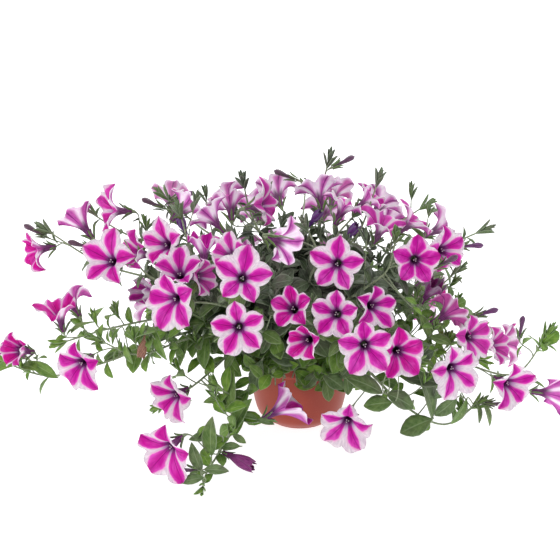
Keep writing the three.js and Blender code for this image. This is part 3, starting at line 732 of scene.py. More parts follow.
# The plant's plan, spray by spray. A hole is its ring and its place on the ring. A path is what the
# main stem passes on its way to its tip. A bloom is its limb's centre, the way it faces and its size.
# Joined blooms are one piece with their spray, and furled ones are closed. A bud is its middle and
# the way it points.
sprays = {
    "left_tip": {
        "hole": (1, 6),
        "path": [(-45, 2, 96), (-110, 6, 116), (-160, 10, 130), (-205, 8, 160)],
        "blooms": [(-214, 0, 143, -0.87, -0.48, -0.05, 0.85)],
        "buds": [(-213, 15, 156, -0.85, 0.1, 0.45)],
    },
    "left_crest": {
        "hole": (1, 5),
        "path": [(-42, 18, 108), (-95, 22, 136), (-138, 22, 150), (-172, 32, 168)],
        "joined": [(-153, 0, 176, -0.92, -0.35, 0.1, 0.95), (-178, 15, 166, -0.6, 0.3, 0.74, 1)],
        "buds": [(-176, 5, 147, -0.9, -0.2, 0.3)],
    },
    "left_face": {
        "hole": (1, 7),
        "path": [(-38, -20, 98), (-80, -30, 118), (-118, -32, 132), (-138, -20, 158)],
        "blooms": [(-148, -55, 152, -0.45, -0.78, 0.42, 1.12)],
        "joined": [(-131, -25, 149, -0.8, -0.5, 0.3, 0.85)],
    },
    "left_shoulder": {
        "hole": (0, 4),
        "path": [(-28, -28, 108), (-58, -42, 132), (-80, -44, 144), (-94, -30, 186)],
        "blooms": [(-106, -60, 165.5, -0.55, -0.78, 0.3, 1)],
        "joined": [(-92, -85, 153, -0.15, -0.65, 0.75, 0.95), (-75, -44, 163, -0.05, 0.1, 0.99, 0.8)],
        "furled": [(-92, -20, 170, -0.3, -0.3, 0.85, 0.7)],
    },
    "left_top": {
        "hole": (0, 3),
        "path": [(-24, 4, 116), (-52, 8, 144), (-78, 12, 158), (-112, 26, 184)],
        "joined": [(-72, -26, 181, -0.65, 0.3, 0.68, 0.95), (-89, 15, 179, 0.65, 0.3, 0.65, 0.85),
                   (-107, 48, 179, -0.2, 0.6, 0.75, 0.85)],
        "buds": [(-94, 20, 183, 0.9, 0.1, 0.3), (-118, 20, 177, -0.85, -0.1, 0.4)],
    },
    "back_top": {
        "hole": (0, 2),
        "path": [(-16, 16, 118), (-30, 28, 146), (-40, 34, 166), (-46, 24, 196)],
        "joined": [(-57, 36, 177, -0.1, 0.6, 0.75, 0.8)],
    },
    "left_low": {
        "hole": (2, 8),
        "path": [(-48, 4, 84), (-100, -6, 90), (-150, -10, 82), (-196, -4, 66)],
        "joined": [(-191, -24, 103, -0.15, -0.1, 0.98, 1), (-190, 26, 97, -0.5, 0.45, 0.7, 0.95),
                   (-124, -25, 118, -0.7, -0.55, 0.3, 0.75)],
    },
    "left_trail": {
        "hole": (2, 9),
        "path": [(-50, -14, 86), (-102, -38, 84), (-150, -56, 70), (-196, -50, 56), (-236, -34, 62)],
        "blooms": [(-221, -62, 82, -0.6, -0.7, 0.35, 0.78)],
        "joined": [(-238, -14, 68, -0.75, -0.2, 0.5, 0.75)],
    },
    "left_front": {
        "hole": (2, 11),
        "path": [(-42, -36, 84), (-86, -60, 90), (-124, -74, 82), (-158, -64, 92)],
        "blooms": [(-169, -92, 79, -0.45, -0.87, -0.1, 1.05)],
        "furled": [(-120, -84, 91, -0.2, -0.3, -0.9, 0.6)],
    },
    "low_left": {
        "hole": (2, 10),
        "path": [(-42, -17, 79), (-64, -32, 60), (-86, -44, 44), (-112, -40, 26)],
        "blooms": [(-101, -68, 44, -0.62, -0.75, -0.1, 1.15)],
    },
    "front_left": {
        "hole": (1, 8),
        "path": [(-28, -36, 96), (-52, -52, 112), (-74, -62, 120), (-104, -70, 122)],
        "blooms": [(-97, -104, 135, -0.5, -0.85, 0.1, 1.12)],
        "joined": [(-72, -71, 143, 0.8, -0.5, 0.1, 0.8)],
    },
    "front_crest": {
        "hole": (1, 9),
        "path": [(-12, -40, 112), (-24, -64, 136), (-34, -80, 150), (-52, -72, 178)],
        "blooms": [(-43, -118, 157, 0.05, -0.92, 0.35, 1.05)],
        "joined": [(-56, -96, 170, -0.5, -0.6, 0.6, 0.75)],
    },
    "front_mid": {
        "hole": (2, 13),
        "path": [(-18, -46, 86), (-30, -72, 100), (-40, -92, 112), (-62, -102, 110)],
        "blooms": [(-46, -128, 122, 0, -0.96, 0.26, 1.05)],
    },
    "front_trail": {
        "hole": (2, 12),
        "path": [(-24, -38, 75), (-36, -54, 58), (-46, -68, 38), (-58, -94, 18), (-71, -122, 5),
                 (-73, -149, 3)],
        "blooms": [(-100, -142, 31, -0.55, -0.8, -0.25, 1.25), (-12, -77, 42, 0.8, 0.15, 0.5, 1.25)],
        "buds": [(-86, -128, 10, -0.8, -0.5, 0.2)],
        "furled": [(-50, -114, 14, 0.85, -0.4, -0.25, 0.75)],
    },
    "front_right": {
        "hole": (2, 14),
        "path": [(6, -46, 88), (8, -70, 100), (10, -88, 110), (18, -104, 112)],
        "blooms": [(24, -119, 130, -0.2, -0.9, 0.35, 0.95), (1, -140, 116, -0.4, -0.85, 0.2, 0.78)],
        "joined": [(-8, -112, 133, -0.25, -0.8, 0.5, 0.85)],
    },
    "front_top": {
        "hole": (0, 5),
        "path": [(6, -28, 114), (8, -46, 138), (14, -58, 154), (2, -72, 186)],
        "blooms": [(25, -97, 160, -0.18, -0.95, 0.15, 1)],
        "joined": [(-11, -62, 166, 0.72, 0.45, -0.42, 0.95)],
    },
    "front_low": {
        "hole": (2, 15),
        "path": [(22, -42, 80), (36, -64, 86), (52, -82, 88), (88, -96, 82)],
        "blooms": [(46, -134, 110, 0.05, -0.97, 0.22, 1.06), (73, -112, 97, 0.25, -0.95, 0.12, 1.05)],
    },
    "right_face": {
        "hole": (1, 10),
        "path": [(26, -34, 104), (48, -48, 126), (66, -50, 142), (72, -64, 174)],
        "blooms": [(56, -94, 128, 0.5, -0.82, 0.28, 0.88), (86, -76, 157, 0.05, -0.98, 0.15, 0.98)],
        "buds": [(111, -60, 152, 0.75, -0.3, 0.55)],
    },
    "right_top": {
        "hole": (0, 0),
        "path": [(16, -4, 116), (32, -6, 146), (46, -8, 160), (62, -2, 204)],
        "joined": [(65, -22, 173, 0.35, -0.2, 0.9, 1), (58, 2, 188, 0.75, -0.1, 0.65, 0.7),
                   (36, -14, 187, 0.45, 0.12, 0.88, 0.95)],
        "furled": [(40, -22, 165, 0.5, -0.3, 0.75, 0.75)],
    },
    "top_centre": {
        "hole": (0, 1),
        "path": [(6, 10, 112), (6, 22, 142), (14, 42, 166), (24, 44, 210)],
        "joined": [(14, 26, 189, -0.15, 0.55, 0.82, 1.05), (-24, -8, 183, 0.88, -0.3, 0.2, 1)],
        "buds": [(35, 30, 209, 0.85, 0.1, 0.4), (-12, 30, 198, -0.9, -0.1, 0.4)],
        "furled": [(12, -8, 173, 0.5, -0.3, 0.75, 0.65)],
    },
    "right_crest": {
        "hole": (1, 11),
        "path": [(34, -16, 106), (64, -20, 128), (90, -20, 142), (146, -10, 164)],
        "blooms": [(113, -44, 156, 0.6, -0.77, 0.15, 0.95)],
        "joined": [(92, -8, 172, 0.8, 0.05, 0.6, 0.95)],
        "buds": [(134, -16, 152, 0.9, -0.2, 0.1)],
    },
    "right_mid": {
        "hole": (1, 0),
        "path": [(38, 0, 96), (72, -6, 106), (100, -8, 108), (128, 2, 128)],
        "blooms": [(119, -28, 103, 0.75, 0.3, 0.45, 1)],
        "joined": [(104, -38, 127, 0.45, -0.3, 0.85, 0.75)],
        "buds": [(149, -10, 95, 0.9, -0.1, 0.3)],
    },
    "right_low": {
        "hole": (2, 17),
        "path": [(46, -18, 80), (80, -26, 80), (112, -34, 70), (146, -28, 60)],
        "blooms": [(118, -84, 73, 0.45, -0.88, 0.05, 1.08)],
        "joined": [(136, -46, 87, 0.55, -0.75, 0.25, 1), (160, -10, 68, 0.75, -0.5, 0.35, 0.85)],
    },
    "right_trail": {
        "hole": (2, 0),
        "path": [(50, 4, 82), (96, 2, 68), (140, -6, 48), (176, -10, 44), (202, -2, 78)],
        "blooms": [(166, -54, 49, 0.6, -0.8, -0.05, 1.08), (206, -10, 26, 0.95, 0.2, -0.15, 0.95)],
        "buds": [(180, 8, 77, 0.1, -0.1, 0.95)],
    },
    "right_ground": {
        "hole": (2, 16),
        "path": [(36, -32, 75), (56, -46, 56), (82, -54, 32), (114, -52, 16), (142, -48, 34)],
        "blooms": [(34, -88, 29, -0.25, -0.92, -0.3, 1.1)],
        "buds": [(154, -52, 33, 0.95, -0.2, 0)],
    },
}


# The stems behind the middle of the plant follow two arcs. Each point and bloom is its distance
# from the axis and its height, and a bloom adds how far round from its stem it is, in degrees,
# how much it faces up, and its size.
backArcs = {
    "back_low": {
        "ring": 2, "places": [1, 3, 5, 7],
        "path": [(47, 82), (92, 92), (132, 78), (170, 58)],
        "blooms": [(118, 116, 14, 0.55, 0.95), (140, 90, 19, 0.25, 1), (180, 52, -8, 0.1, 0.95)],
    },
    "back_high": {
        "ring": 1, "places": [1, 2, 3, 4],
        "path": [(34, 108), (62, 136), (92, 150), (124, 166)],
        "blooms": [(96, 172, 12, 0.8, 0.95), (122, 150, -12, 0.45, 1)],
    },
}
arcSway = 3   # how far an arc's stems sway to either side, in degrees
arcShift = 8   # how far the blooms on an arc are shifted from their places


# A bloom's share of hot pink, how faded and how old it is (on one bloom the age is painted shade), how
# broad its rays are, how far it is cupped and its scale, where they aren't drawn
bloomLooks = {
    "front_crest_own_1": {"broad": 0.0},
    "front_low_own_1": {"tone": 0.1, "broad": 0.03},
    "front_low_own_2": {"tone": 0.6, "broad": 0.08},
    "front_right_joined_1": {"tone": 0.6, "pale": 0.0, "broad": 0.06},
    "front_right_own_1": {"tone": 0.3, "broad": -0.02},
    "front_right_own_2": {"tone": 1.0, "broad": 0.06, "cup": 0.9},
    "front_top_joined_1": {"tone": 0.3, "pale": 0.0, "broad": -0.02},
    "front_trail_furled_1": {"tone": 1.0, "ageAndShade": 0.4, "broad": 0.3, "scale": 0.75},
    # its slight violet tint is painted shade
    "front_trail_own_2": {"tone": 0.5, "pale": 0.0, "ageAndShade": 0.14, "broad": 0.1, "cup": 1.1},
    "left_crest_joined_2": {"tone": 0.5, "pale": 0.0, "broad": 0.08, "cup": 0.9},
    "left_front_furled_1": {"ageAndShade": 1.0, "scale": 0.55},
    "left_low_joined_1": {"tone": 0.7, "pale": 0.0, "broad": 0.08, "cup": 0.6},
    "left_low_joined_2": {"tone": 0.5, "pale": 0.0, "broad": 0.08},
    "left_low_joined_3": {"tone": 0.2, "ageAndShade": 0.15, "cup": 1.4},
    "left_shoulder_joined_2": {"tone": 0.2, "pale": 0.0, "broad": 0.08, "cup": 0.9},
    "left_tip_own_1": {"broad": 0.1},
    "left_top_joined_3": {"pale": 0.15},
    "left_trail_own_1": {"tone": 0.95, "broad": 0.1, "cup": 0.7},
    "low_left_own_1": {"broad": -0.04},
    "right_face_own_2": {"tone": 0.1, "broad": 0.1},
    "right_ground_own_1": {"tone": 0.1, "broad": -0.06},
    "right_low_own_1": {"tone": 0.0, "broad": -0.1},
    "right_mid_joined_1": {"tone": 1.0, "ageAndShade": 0.4, "pale": 0.0, "cup": 1.8, "scale": 0.85},
    "right_mid_own_1": {"tone": 1.0, "pale": 0.0, "broad": 0.16, "scale": 1.12},
    "right_top_joined_1": {"tone": 0.1, "broad": 0.02},
    "right_top_joined_3": {"tone": 0.1, "broad": 0.02},
    "right_trail_own_2": {"tone": 0.4, "pale": 0.0, "broad": 0.1, "cup": 0.9},
}
furledLook = {"tone": 0.1, "ageAndShade": 0.47, "broad": 0.1, "cup": 3.2, "scale": 0.52}
lookRange = {"tone": 0.8, "pale": 0.08, "broad": 0.1, "cup": (-0.15, 0.45)}
sepalLengths = (4, 10.5)   # of a bloom with a scale of 0 and of a whole one


stemPlan = {
    "holeRings": [(9, 6), (20, 12), (31, 18)],   # radius and number of holes in the soil
    "rootHeight": 53,
    "rise": 12,
    "step": 3,
    "rootRadius": 1.7,
    "tipRadius": 0.6,
    "taper": 0.7,
    "leaves": (0.25, 0.97),   # from here to there along a stem
    "leafSpacing": (5.5, 7.5),   # at its root and at its tip
    "tuft": (14, 9),   # the length and number of the young leaves at its tip
}

twigPlan = {
    "radius": 0.5,
    "bend": 0.4,   # how far it keeps its way at either end, as a share of its length
    "leafScale": 0.8,
}

# A twig's number of points, its last radii, where it bears leaves and how far apart they are, how
# far before its end it aims, and how far back its calyx sits and how wide it spreads
twigWays = {
    "bloom": {"points": 14, "mouth": [0.7, 1.4, 2.0], "leaves": (0.1, 0.8), "leafSpacing": (10, 10),
              "ahead": 0, "calyxBack": 1, "spread": 0.4},
    "bud": {"points": 12, "mouth": [0.8, 1.3], "leaves": (0.15, 0.9), "leafSpacing": (9, 9),
            "ahead": 20, "calyxBack": 0.5, "spread": 0.15},
}

# Where a twig leaves its stem: the nearest place to a point behind its mouth, less a lead
forkPlan = {
    "behind": 10,
    "places": [i / 24 for i in range(7, 23)],
    "least": 0.25,
    "lead": 0.35,
}

calyxPlan = {
    "sepals": 5,
    "footRadius": 1.9,
    "lean": (0.5, 1.5),
    "length": (0.85, 1.15),
    "tone": (0.3, 0.6),
}

leafPlan = {
    "joint": 3,   # leaves that grow close together
    "evenness": 0.35,   # 0 puts each joint's leaves in one place, 1 spreads them evenly
    "reach": (0.6, 0.95),   # how far a leaf stands out from its stalk
    "outerLength": 19.5,
    "innerLength": 24,
    "topLength": 13,
    "lengths": (0.75, 1.15),   # the shortest and longest, as shares of those
    "lastLength": 0.75,
    "innerReach": (50, 105),   # from here to there, from the axis, inner leaves give way to outer ones
    "topReach": (135, 170),
    "lances": (0.3, 0.7),   # how near the top the first leaves, and all of them, are lances
    "ovals": (0.3, 0.8),   # how near the axis they are ovals
    "others": ("spoon", "arched", "oval", "spoon"),
    # higher leaves are darker: partly their own grey-green and partly painted shade
    "tones": (0.95, 0.3),   # of the leaves at the first height of toneReach and at the second
    "toneReach": (60, 140),
    # leaves near the axis and above the first height of shadeReach are painted darker: painted shade
    # inside the crown
    "innerShade": 0.5,
    "shadeReach": (60, 90),
    "toneSwing": 0.5,
    "thinFrom": 60,   # some leaves farther from the axis than this and
    "thinBelow": 62,   # lower than this are left out
    "lowShare": 0.6,
    "thinAbove": 138,   # and some above this height, too
    "topShare": 0.45,
}


def allPlans():
    plans = [{"name": name, **plan} for name, plan in sprays.items()]
    for name, arc in backArcs.items():
        for k, place in enumerate(arc["places"]):
            middle = 360 * place / stemPlan["holeRings"][arc["ring"]][1]
            path = [polar(distance, math.radians(middle + arcSway * math.sin(i + k)), z)
                    for i, (distance, z) in enumerate(arc["path"])]
            joined = []
            for i, (distance, z, aside, lift, size) in enumerate(arc["blooms"]):
                shift = swing(arcShift, 17 * place + i)
                centre = polar(distance + shift, math.radians(middle + aside), z + shift)
                facing = polar(1, math.radians(middle + 1.5 * aside), lift)
                joined.append((*centre, *facing, size))
            plans.append({"name": f"{name}_{k + 1}", "hole": (arc["ring"], place), "path": path,
                          "joined": joined})
    return plans


def mainStem(plan):
    ring, place = plan["hole"]
    radius, count = stemPlan["holeRings"][ring]
    root = Vector(polar(radius, 2 * math.pi * place / count, stemPlan["rootHeight"]))
    places = [root, root + upward * stemPlan["rise"], *[Vector(point) for point in plan["path"]]]
    rough = roundedPath(places, 60)
    return roundedPath(places, round(pathLength(rough) / stemPlan["step"]))


def forkShare(points, mouth, facing):
    aim = mouth - forkPlan["behind"] * facing
    best = min(forkPlan["places"], key=lambda share: (between(points, share) - aim).length)
    lead = forkPlan["lead"] * (between(points, best) - aim).length / pathLength(points)
    return max(forkPlan["least"], best - lead)


# the limbs of all blooms, which leaves stay clear of: centre, facing, radius
limbs = []

clearPlan = {
    "lowest": 1.0,
    "potReach": 45,
    "potTop": 65,
    "limbReach": (-2.5, 9),   # how far behind and before a limb nothing grows
    "leafMargin": 1,
    "shootMargin": 3,
    # where the pot shows between the leaves: from its wall outwards, and how wide
    "windows": [((-29, -34, 34), (-30, -92, 52), 11), ((-6, -42, 55), (-6, -90, 70), 6)],
    "windowReach": (-0.1, 1.2),
}


def fromAxis(point):
    return math.hypot(point.x, point.y)


def isClear(point, margin):
    if point.z < clearPlan["lowest"]:
        return False
    first, last = clearPlan["windowReach"]
    for wall, end, radius in clearPlan["windows"]:
        nearest, share = intersect_point_line(point, Vector(wall), Vector(end))
        if first < share < last and (point - nearest).length < radius:
            return False
    if fromAxis(point) < clearPlan["potReach"] and point.z < clearPlan["potTop"]:
        return False
    behind, before = clearPlan["limbReach"]
    for centre, facing, radius in limbs:
        away = point - centre
        ahead = away.dot(facing)
        if behind < ahead < before and (away - facing * ahead).length < radius + margin:
            return False
    return True


skirtPlan = {
    "first": 0.12,
    "reach": 0.45,
    "spacing": 5.5,
    "length": (17, 26),
    "lowTop": 92,   # leaves that grow below this hang down
    # the low leaves are painted bright and the high ones, inside the crown, dark: painted shade
    "low": {"lift": (-0.9, 0.3), "tone": 0.75},
    "high": {"lift": (-0.5, 0.7), "tone": 0.05},
    "toneSwing": 0.25,
}

tuftPlan = {
    "lean": (0.1, 0.75),   # of the innermost leaf and the outermost
    "length": (0.6, 1.1),
    "depth": 0.8,
}


def outFrom(point):
    # the level way from the pot's axis to a point
    return Vector((point.x, point.y, 0)).normalized()


def leafAt(point, seed):
    # the length and kind of a leaf that grows here, and its tone: high leaves are darker, partly their
    # own grey-green and partly painted shade, and leaves inside the crown are darker still with painted
    # shade
    top = ease(*leafPlan["topReach"], point.z)
    inner = 1 - ease(*leafPlan["innerReach"], fromAxis(point))
    length = lerp(leafPlan["outerLength"], leafPlan["innerLength"], inner)
    length = lerp(length, leafPlan["topLength"], top)
    if top > drawn(*leafPlan["lances"], seed):
        kind = "lance"
    elif inner > drawn(*leafPlan["ovals"], seed + 1):
        kind = "oval"
    else:
        kind = leafPlan["others"][int(4 * draw(seed + 2))]
    # painted shade inside the crown
    shade = leafPlan["innerShade"] * inner * ease(*leafPlan["shadeReach"], point.z)
    tone = lerp(*leafPlan["tones"], ease(*leafPlan["toneReach"], point.z)) - shade
    tone += swing(leafPlan["toneSwing"], seed + 3)
    return length, kind, min(1, max(0, tone))


def addLeaf(bm, kind, base, along, face, length, seed, tone):
    along = along.normalized()
    margin = clearPlan["leafMargin"]
    if isClear(base + along * length, margin) and isClear(base + along * length * 0.5, margin):
        addBlade(bm, kind, base, along, face, length, seed, tone)


def isLeftOut(base, number):
    if base.z > leafPlan["thinAbove"]:
        return draw(number) < leafPlan["topShare"]
    low = fromAxis(base) > leafPlan["thinFrom"] and base.z < leafPlan["thinBelow"]
    return low and draw(number) < leafPlan["lowShare"]


spiral = 2.4   # from one leaf or shoot to the next round its stalk, in radians
anyTurn = 6.3   # how far a whole stalk's leaves may be turned


def sidesOf(along):
    # the level way across a stalk, and the way up from it
    across = along.cross(upward)
    across = across.normalized() if across.length > 0.05 else Vector((1, 0, 0))
    return across, across.cross(along)


def addLeaves(bm, points, plan, scale, seed):
    # leaves along a stalk in a spiral, in threes, farther apart and shorter towards its tip
    first, last = plan["leaves"]
    near, far = plan["leafSpacing"]
    count = max(2, round(pathLength(points) * (last - first) / ((near + far) / 2)))
    crowding = far / near
    for n in range(count):
        own = seed + 7 * n
        joint = leafPlan["joint"] * (n // leafPlan["joint"]) + leafPlan["joint"] / 2
        step = min(1, (lerp(joint, n + 0.5, leafPlan["evenness"]) + swing(0.6, own)) / count)
        share = lerp(first, last, step ** (0.5 + 0.5 * crowding))
        base = between(points, share)
        if isLeftOut(base, own + 4):
            continue
        along = directionOn(points, share)
        across, above = sidesOf(along)
        angle = spiral * n + anyTurn * draw(seed)
        outward = across * math.cos(angle) + above * math.sin(angle)
        reach = drawn(*leafPlan["reach"], own + 1)
        direction = outward * reach + along * (1.1 - reach) + upward * 0.1
        long, kind, tone = leafAt(base, own)
        long *= scale * drawn(*leafPlan["lengths"], own + 2) * lerp(1, leafPlan["lastLength"], step)
        face = along * 0.5 + upward * 0.7 + outFrom(base) * 0.5
        addLeaf(bm, kind, base, direction, face, long, seed + 11 * n, tone)


def addSkirt(bm, points, seed):
    # the broad leaves near the pot, which hang over its rim and close the crown
    count = round(pathLength(points) * skirtPlan["reach"] / skirtPlan["spacing"])
    first = skirtPlan["first"]
    for n in range(count):
        own = seed + 9 * n
        base = between(points, lerp(first, first + skirtPlan["reach"], (n + draw(own)) / count))
        if isLeftOut(base, own + 7):
            continue
        out = outFrom(base)
        way = skirtPlan["low" if base.z < skirtPlan["lowTop"] else "high"]
        aside = out.cross(upward) * drawn(-1, 1, own + 1)
        along = out * 0.6 + aside + upward * drawn(*way["lift"], own + 2)
        face = out * 0.8 + upward * 0.6 + aside * 0.3
        length = drawn(*skirtPlan["length"], own + 3)
        tone = max(0, way["tone"] + swing(skirtPlan["toneSwing"], own + 5))
        addLeaf(bm, "oval", base, along, face, length, own, tone)


def addTuft(bm, tip, points, tuft, seed):
    # the young leaves that stand close together at the end of a stalk
    length, count = tuft
    along = directionOn(points, 1)
    across = along.orthogonal().normalized()
    tone = leafAt(tip, seed)[2]
    for n in range(count):
        outward = Matrix.Rotation(spiral * n + anyTurn * draw(seed), 3, along) @ across
        lean = lerp(*tuftPlan["lean"], n / count)
        size = length * lerp(*tuftPlan["length"], n / count) * drawn(0.85, 1.15, seed + n)
        base = tip - along * length * tuftPlan["depth"] * n / count
        addLeaf(bm, "young", base, along + outward * lean, along - outward, size, seed + 5 * n, tone)


def addCalyx(bm, base, facing, length, spread, seed):
    # the narrow sepals round the foot of a bloom or bud
    across = facing.orthogonal().normalized()
    for n in range(calyxPlan["sepals"]):
        angle = 2 * math.pi * n / calyxPlan["sepals"] + draw(seed)
        outward = Matrix.Rotation(angle, 3, facing) @ across
        lean = spread * drawn(*calyxPlan["lean"], seed + n)
        size = length * drawn(*calyxPlan["length"], seed + 6 + n)
        foot = base + outward * calyxPlan["footRadius"]
        tone = drawn(*calyxPlan["tone"], seed + n)
        addBlade(bm, "sepal", foot, facing + outward * lean, -outward, size, seed + n, tone)


shootPlan = {
    "spacing": 24,
    "first": 0.14,
    "last": 0.95,
    "length": (58, 26),   # at its stem's root and at its tip
    "lengths": (0.65, 1.25),   # the shortest and longest, as shares of that
    "points": 10,
    "rootRadius": 0.55,
    "tipRadius": 0.35,
    "taper": 1,
    "leafSpacing": (7.5, 7.5),
    "leafScale": (1.1, 1.35),   # of inner shoots and of outer ones
    "outerReach": (90, 130),   # from here to there, from the axis, shoots grow shorter and fewer
    "outerShare": 0.45,
    "outerMissing": 0.5,
    "leaves": (0.12, 0.95),   # from here to there along a shoot
    "tuft": (12.5, 7),
    "sparseFrom": 142,   # above this height fewer shoots grow
    "sparseShare": 0.65,
    "top": 200,   # no shoot ends above this height
}


def sideShoots(greens, points, seed):
    # leafy shoots from a main stem, which bend up to the light; their stalks are returned
    stalks = []
    count = round(pathLength(points) / shootPlan["spacing"])
    for k in range(count):
        own = seed + 13 * k
        share = lerp(shootPlan["first"], shootPlan["last"], (k + 0.5) / count)
        start = between(points, share)
        along = directionOn(points, share)
        across, above = sidesOf(along)
        angle = spiral * k + anyTurn * draw(seed)
        outward = across * math.cos(angle) + above * abs(math.sin(angle))
        direction = (along * 0.5 + outward * 0.8 + upward * 0.3).normalized()
        length = lerp(*shootPlan["length"], share) * drawn(*shootPlan["lengths"], own)
        far = ease(*shootPlan["outerReach"], fromAxis(start))
        length *= lerp(1, shootPlan["outerShare"], far)
        end = start + (direction * 0.8 + upward * 0.25).normalized() * length
        crowded = end.z > shootPlan["sparseFrom"] and draw(own + 7) < shootPlan["sparseShare"]
        missing = draw(own + 8) < shootPlan["outerMissing"] * far
        if crowded or missing or end.z > shootPlan["top"] or not isClear(end, clearPlan["shootMargin"]):
            continue
        bend = (upward * 0.5 + direction * 0.5).normalized() * length * 0.3
        leaving = start + direction * length * 0.45
        path = list(interpolate_bezier(start, leaving, end - bend, end, shootPlan["points"]))
        stalks.append((path, tapered(shootPlan, len(path))))
        addLeaves(greens, path, shootPlan, lerp(*shootPlan["leafScale"], far), own + 3)
        addTuft(greens, end, path, shootPlan["tuft"], own + 5)
    return stalks


# The shoots that trail over the pot's rim. Places are distance from the axis and height.
rimPlan = {
    "turns": [-0.3, -0.1, 0.12, 0.3],   # how far round from its stem each one hangs, in radians
    "route": [(32, 63), (38, 73), (49, 70)],
    "endReach": (49, 54),
    "endHeight": (46, 57),
    "points": 12,
    "radius": 0.55,
    "leaves": (0.35, 1),
    "leafSpacing": (3.2, 3.8),
    "leafScale": 0.85,
}


def rimShoots(greens, plan, seed):
    # only the stems of the outermost ring bear them
    stalks = []
    ring, place = plan["hole"]
    if ring < 2:
        return stalks
    middle = 2 * math.pi * place / stemPlan["holeRings"][ring][1]
    for k, turn in enumerate(rimPlan["turns"]):
        end = (drawn(*rimPlan["endReach"], seed + k), drawn(*rimPlan["endHeight"], seed + 5 + k))
        route = []
        for i, (reach, height) in enumerate([*rimPlan["route"], end]):
            route.append(Vector(polar(reach, middle + turn * i / 3, height)))
        path = list(interpolate_bezier(*route, rimPlan["points"]))
        stalks.append((path, [rimPlan["radius"]] * len(path)))
        addLeaves(greens, path, rimPlan, rimPlan["leafScale"], seed + 20 * k)
    return stalks


# The broad leaves that stand out, by spray: each one's foot, its tip and its tone
broadLeaves = {
    "front_low": [((62, -88, 56), (38, -92, 73), 0.35), ((65, -86, 55), (86, -90, 48), 0.3),
                  ((69, -90, 49), (49, -94, 50), 0.5), ((35, -50, 59), (40, -54, 42), 0.4),
                  ((40, -52, 65), (31, -56, 56), 0.2)],
    "right_ground": [((103, -62, 25), (100, -66, 64), 0.35), ((102, -66, 26), (78, -70, 18), 0.45),
                     ((115, -58, 55), (107, -62, 40), 0.25), ((122, -56, 40), (107, -60, 25), 0.3),
                     ((130, -54, 38), (123, -58, 17), 0.6), ((138, -52, 35), (144, -56, 20), 0.5),
                     ((143, -50, 34), (153, -54, 18), 0.6)],
    "right_low": [((108, -62, 54), (85, -66, 63), 0.15), ((100, -60, 85), (82, -64, 81), 0.1),
                  ((103, -60, 80), (88, -64, 74), 0.05)],
    "right_trail": [((182, -20, 41), (196, -24, 40), 0.7)],
    "low_left": [((-53, -70, 35), (-57, -74, 65), 0.7), ((-61, -66, 42), (-74, -70, 44), 0.6),
                 ((-69, -66, 49), (-63, -70, 35), 0.85), ((-56, -64, 43), (-45, -68, 51), 0.6),
                 ((-50, -56, 78), (-61, -60, 66), 0.5)],
    "front_trail": [((-30, -62, 73), (-39, -66, 49), 0.15), ((-53, -84, 23), (-44, -88, 50), 0.6),
                    ((-47, -80, 36), (-34, -84, 35), 0.45), ((-34, -82, 32), (-21, -86, 31), 0.3),
                    ((-67, -124, 20), (-70, -128, 48), 0.5), ((-62, -116, 33), (-83, -120, 34), 0.3),
                    ((-74, -136, 13), (-82, -140, 33), 0.3), ((-72, -140, 16), (-55, -144, 18), 0.3),
                    ((-72, -146, 12), (-88, -150, 12), 0.3), ((-52, -104, 29), (-42, -108, 24), 0.5),
                    ((-46, -108, 21), (-60, -112, 23), 0.4)],
    "left_front": [((-134, -78, 92), (-131, -82, 77), 0.75), ((-112, -74, 105), (-108, -78, 78), 0.85),
                   ((-101, -72, 95), (-90, -76, 111), 1), ((-95, -70, 88), (-102, -74, 76), 1),
                   ((-118, -76, 109), (-123, -80, 99), 0.8)],
    "left_trail": [((-190, -52, 55), (-209, -56, 70), 0.7), ((-140, -48, 95), (-149, -52, 85), 0.6),
                   ((-148, -44, 92), (-160, -48, 95), 0.5), ((-142, -50, 76), (-154, -54, 72), 0.5)],
    "front_mid": [((0, -52, 68), (-22, -56, 77), 0.1)],
    "front_right": [((14, -56, 61), (2, -60, 50), 0.25), ((17, -56, 60), (34, -60, 51), 0.3),
                    ((19, -54, 54), (24, -58, 38), 0.6), ((0, -54, 66), (-14, -58, 67), 0.3)],
    "right_face": [((85, -64, 117), (93, -66, 113), 0.95), ((79, -62, 124), (88, -66, 122), 0.9)],
}
broadPlan = {
    "slender": ("front_trail", "low_left", "left_trail"),   # the sprays whose leaves are long
    "lengthen": 1.08,
    "petiole": 0.5,
    "petiolePoints": 8,
    "bend": 0.4,
}


def addBroadLeaves(greens, points, name, seed):
    # each leaf on a stalk of its own from the nearest place on the main stem
    stalks = []
    kind = "long" if name in broadPlan["slender"] else "oval"
    for n, (foot, tip, tone) in enumerate(broadLeaves.get(name, [])):
        foot = Vector(foot)
        along = Vector(tip) - foot
        nearest = min(points, key=lambda point: (point - foot).length)
        bend = broadPlan["bend"]
        first = nearest.lerp(foot, bend)
        second = foot - along.normalized() * (min((foot - nearest).length, along.length) * bend)
        path = list(interpolate_bezier(nearest, first, second, foot, broadPlan["petiolePoints"]))
        stalks.append((path, [broadPlan["petiole"]] * len(path)))
        face = outFrom(foot) + upward * 0.8
        length = along.length * broadPlan["lengthen"]
        addBlade(greens, kind, foot, along, face, length, seed + 4 * n, tone)
    return stalks


def flowerPlaces(plan, number):
    # what is known of every bloom of a spray
    places = []
    for k, (kind, word) in enumerate((("blooms", "own"), ("joined", "joined"), ("furled", "furled"))):
        for i, bloom in enumerate(plan.get(kind, [])):
            seed = 100 * number + 10 * i + k + 1
            places.append({"name": f"{plan['name']}_{word}_{i + 1}", "kind": kind,
                           "node": f"{plan['name']}_{i + 1}", "centre": Vector(bloom[:3]),
                           "facing": Vector(bloom[3:6]).normalized(), "size": bloom[6], "seed": seed,
                           "spin": math.atan2(-bloom[4], -bloom[3]) + swing(0.5, seed)})
    return places


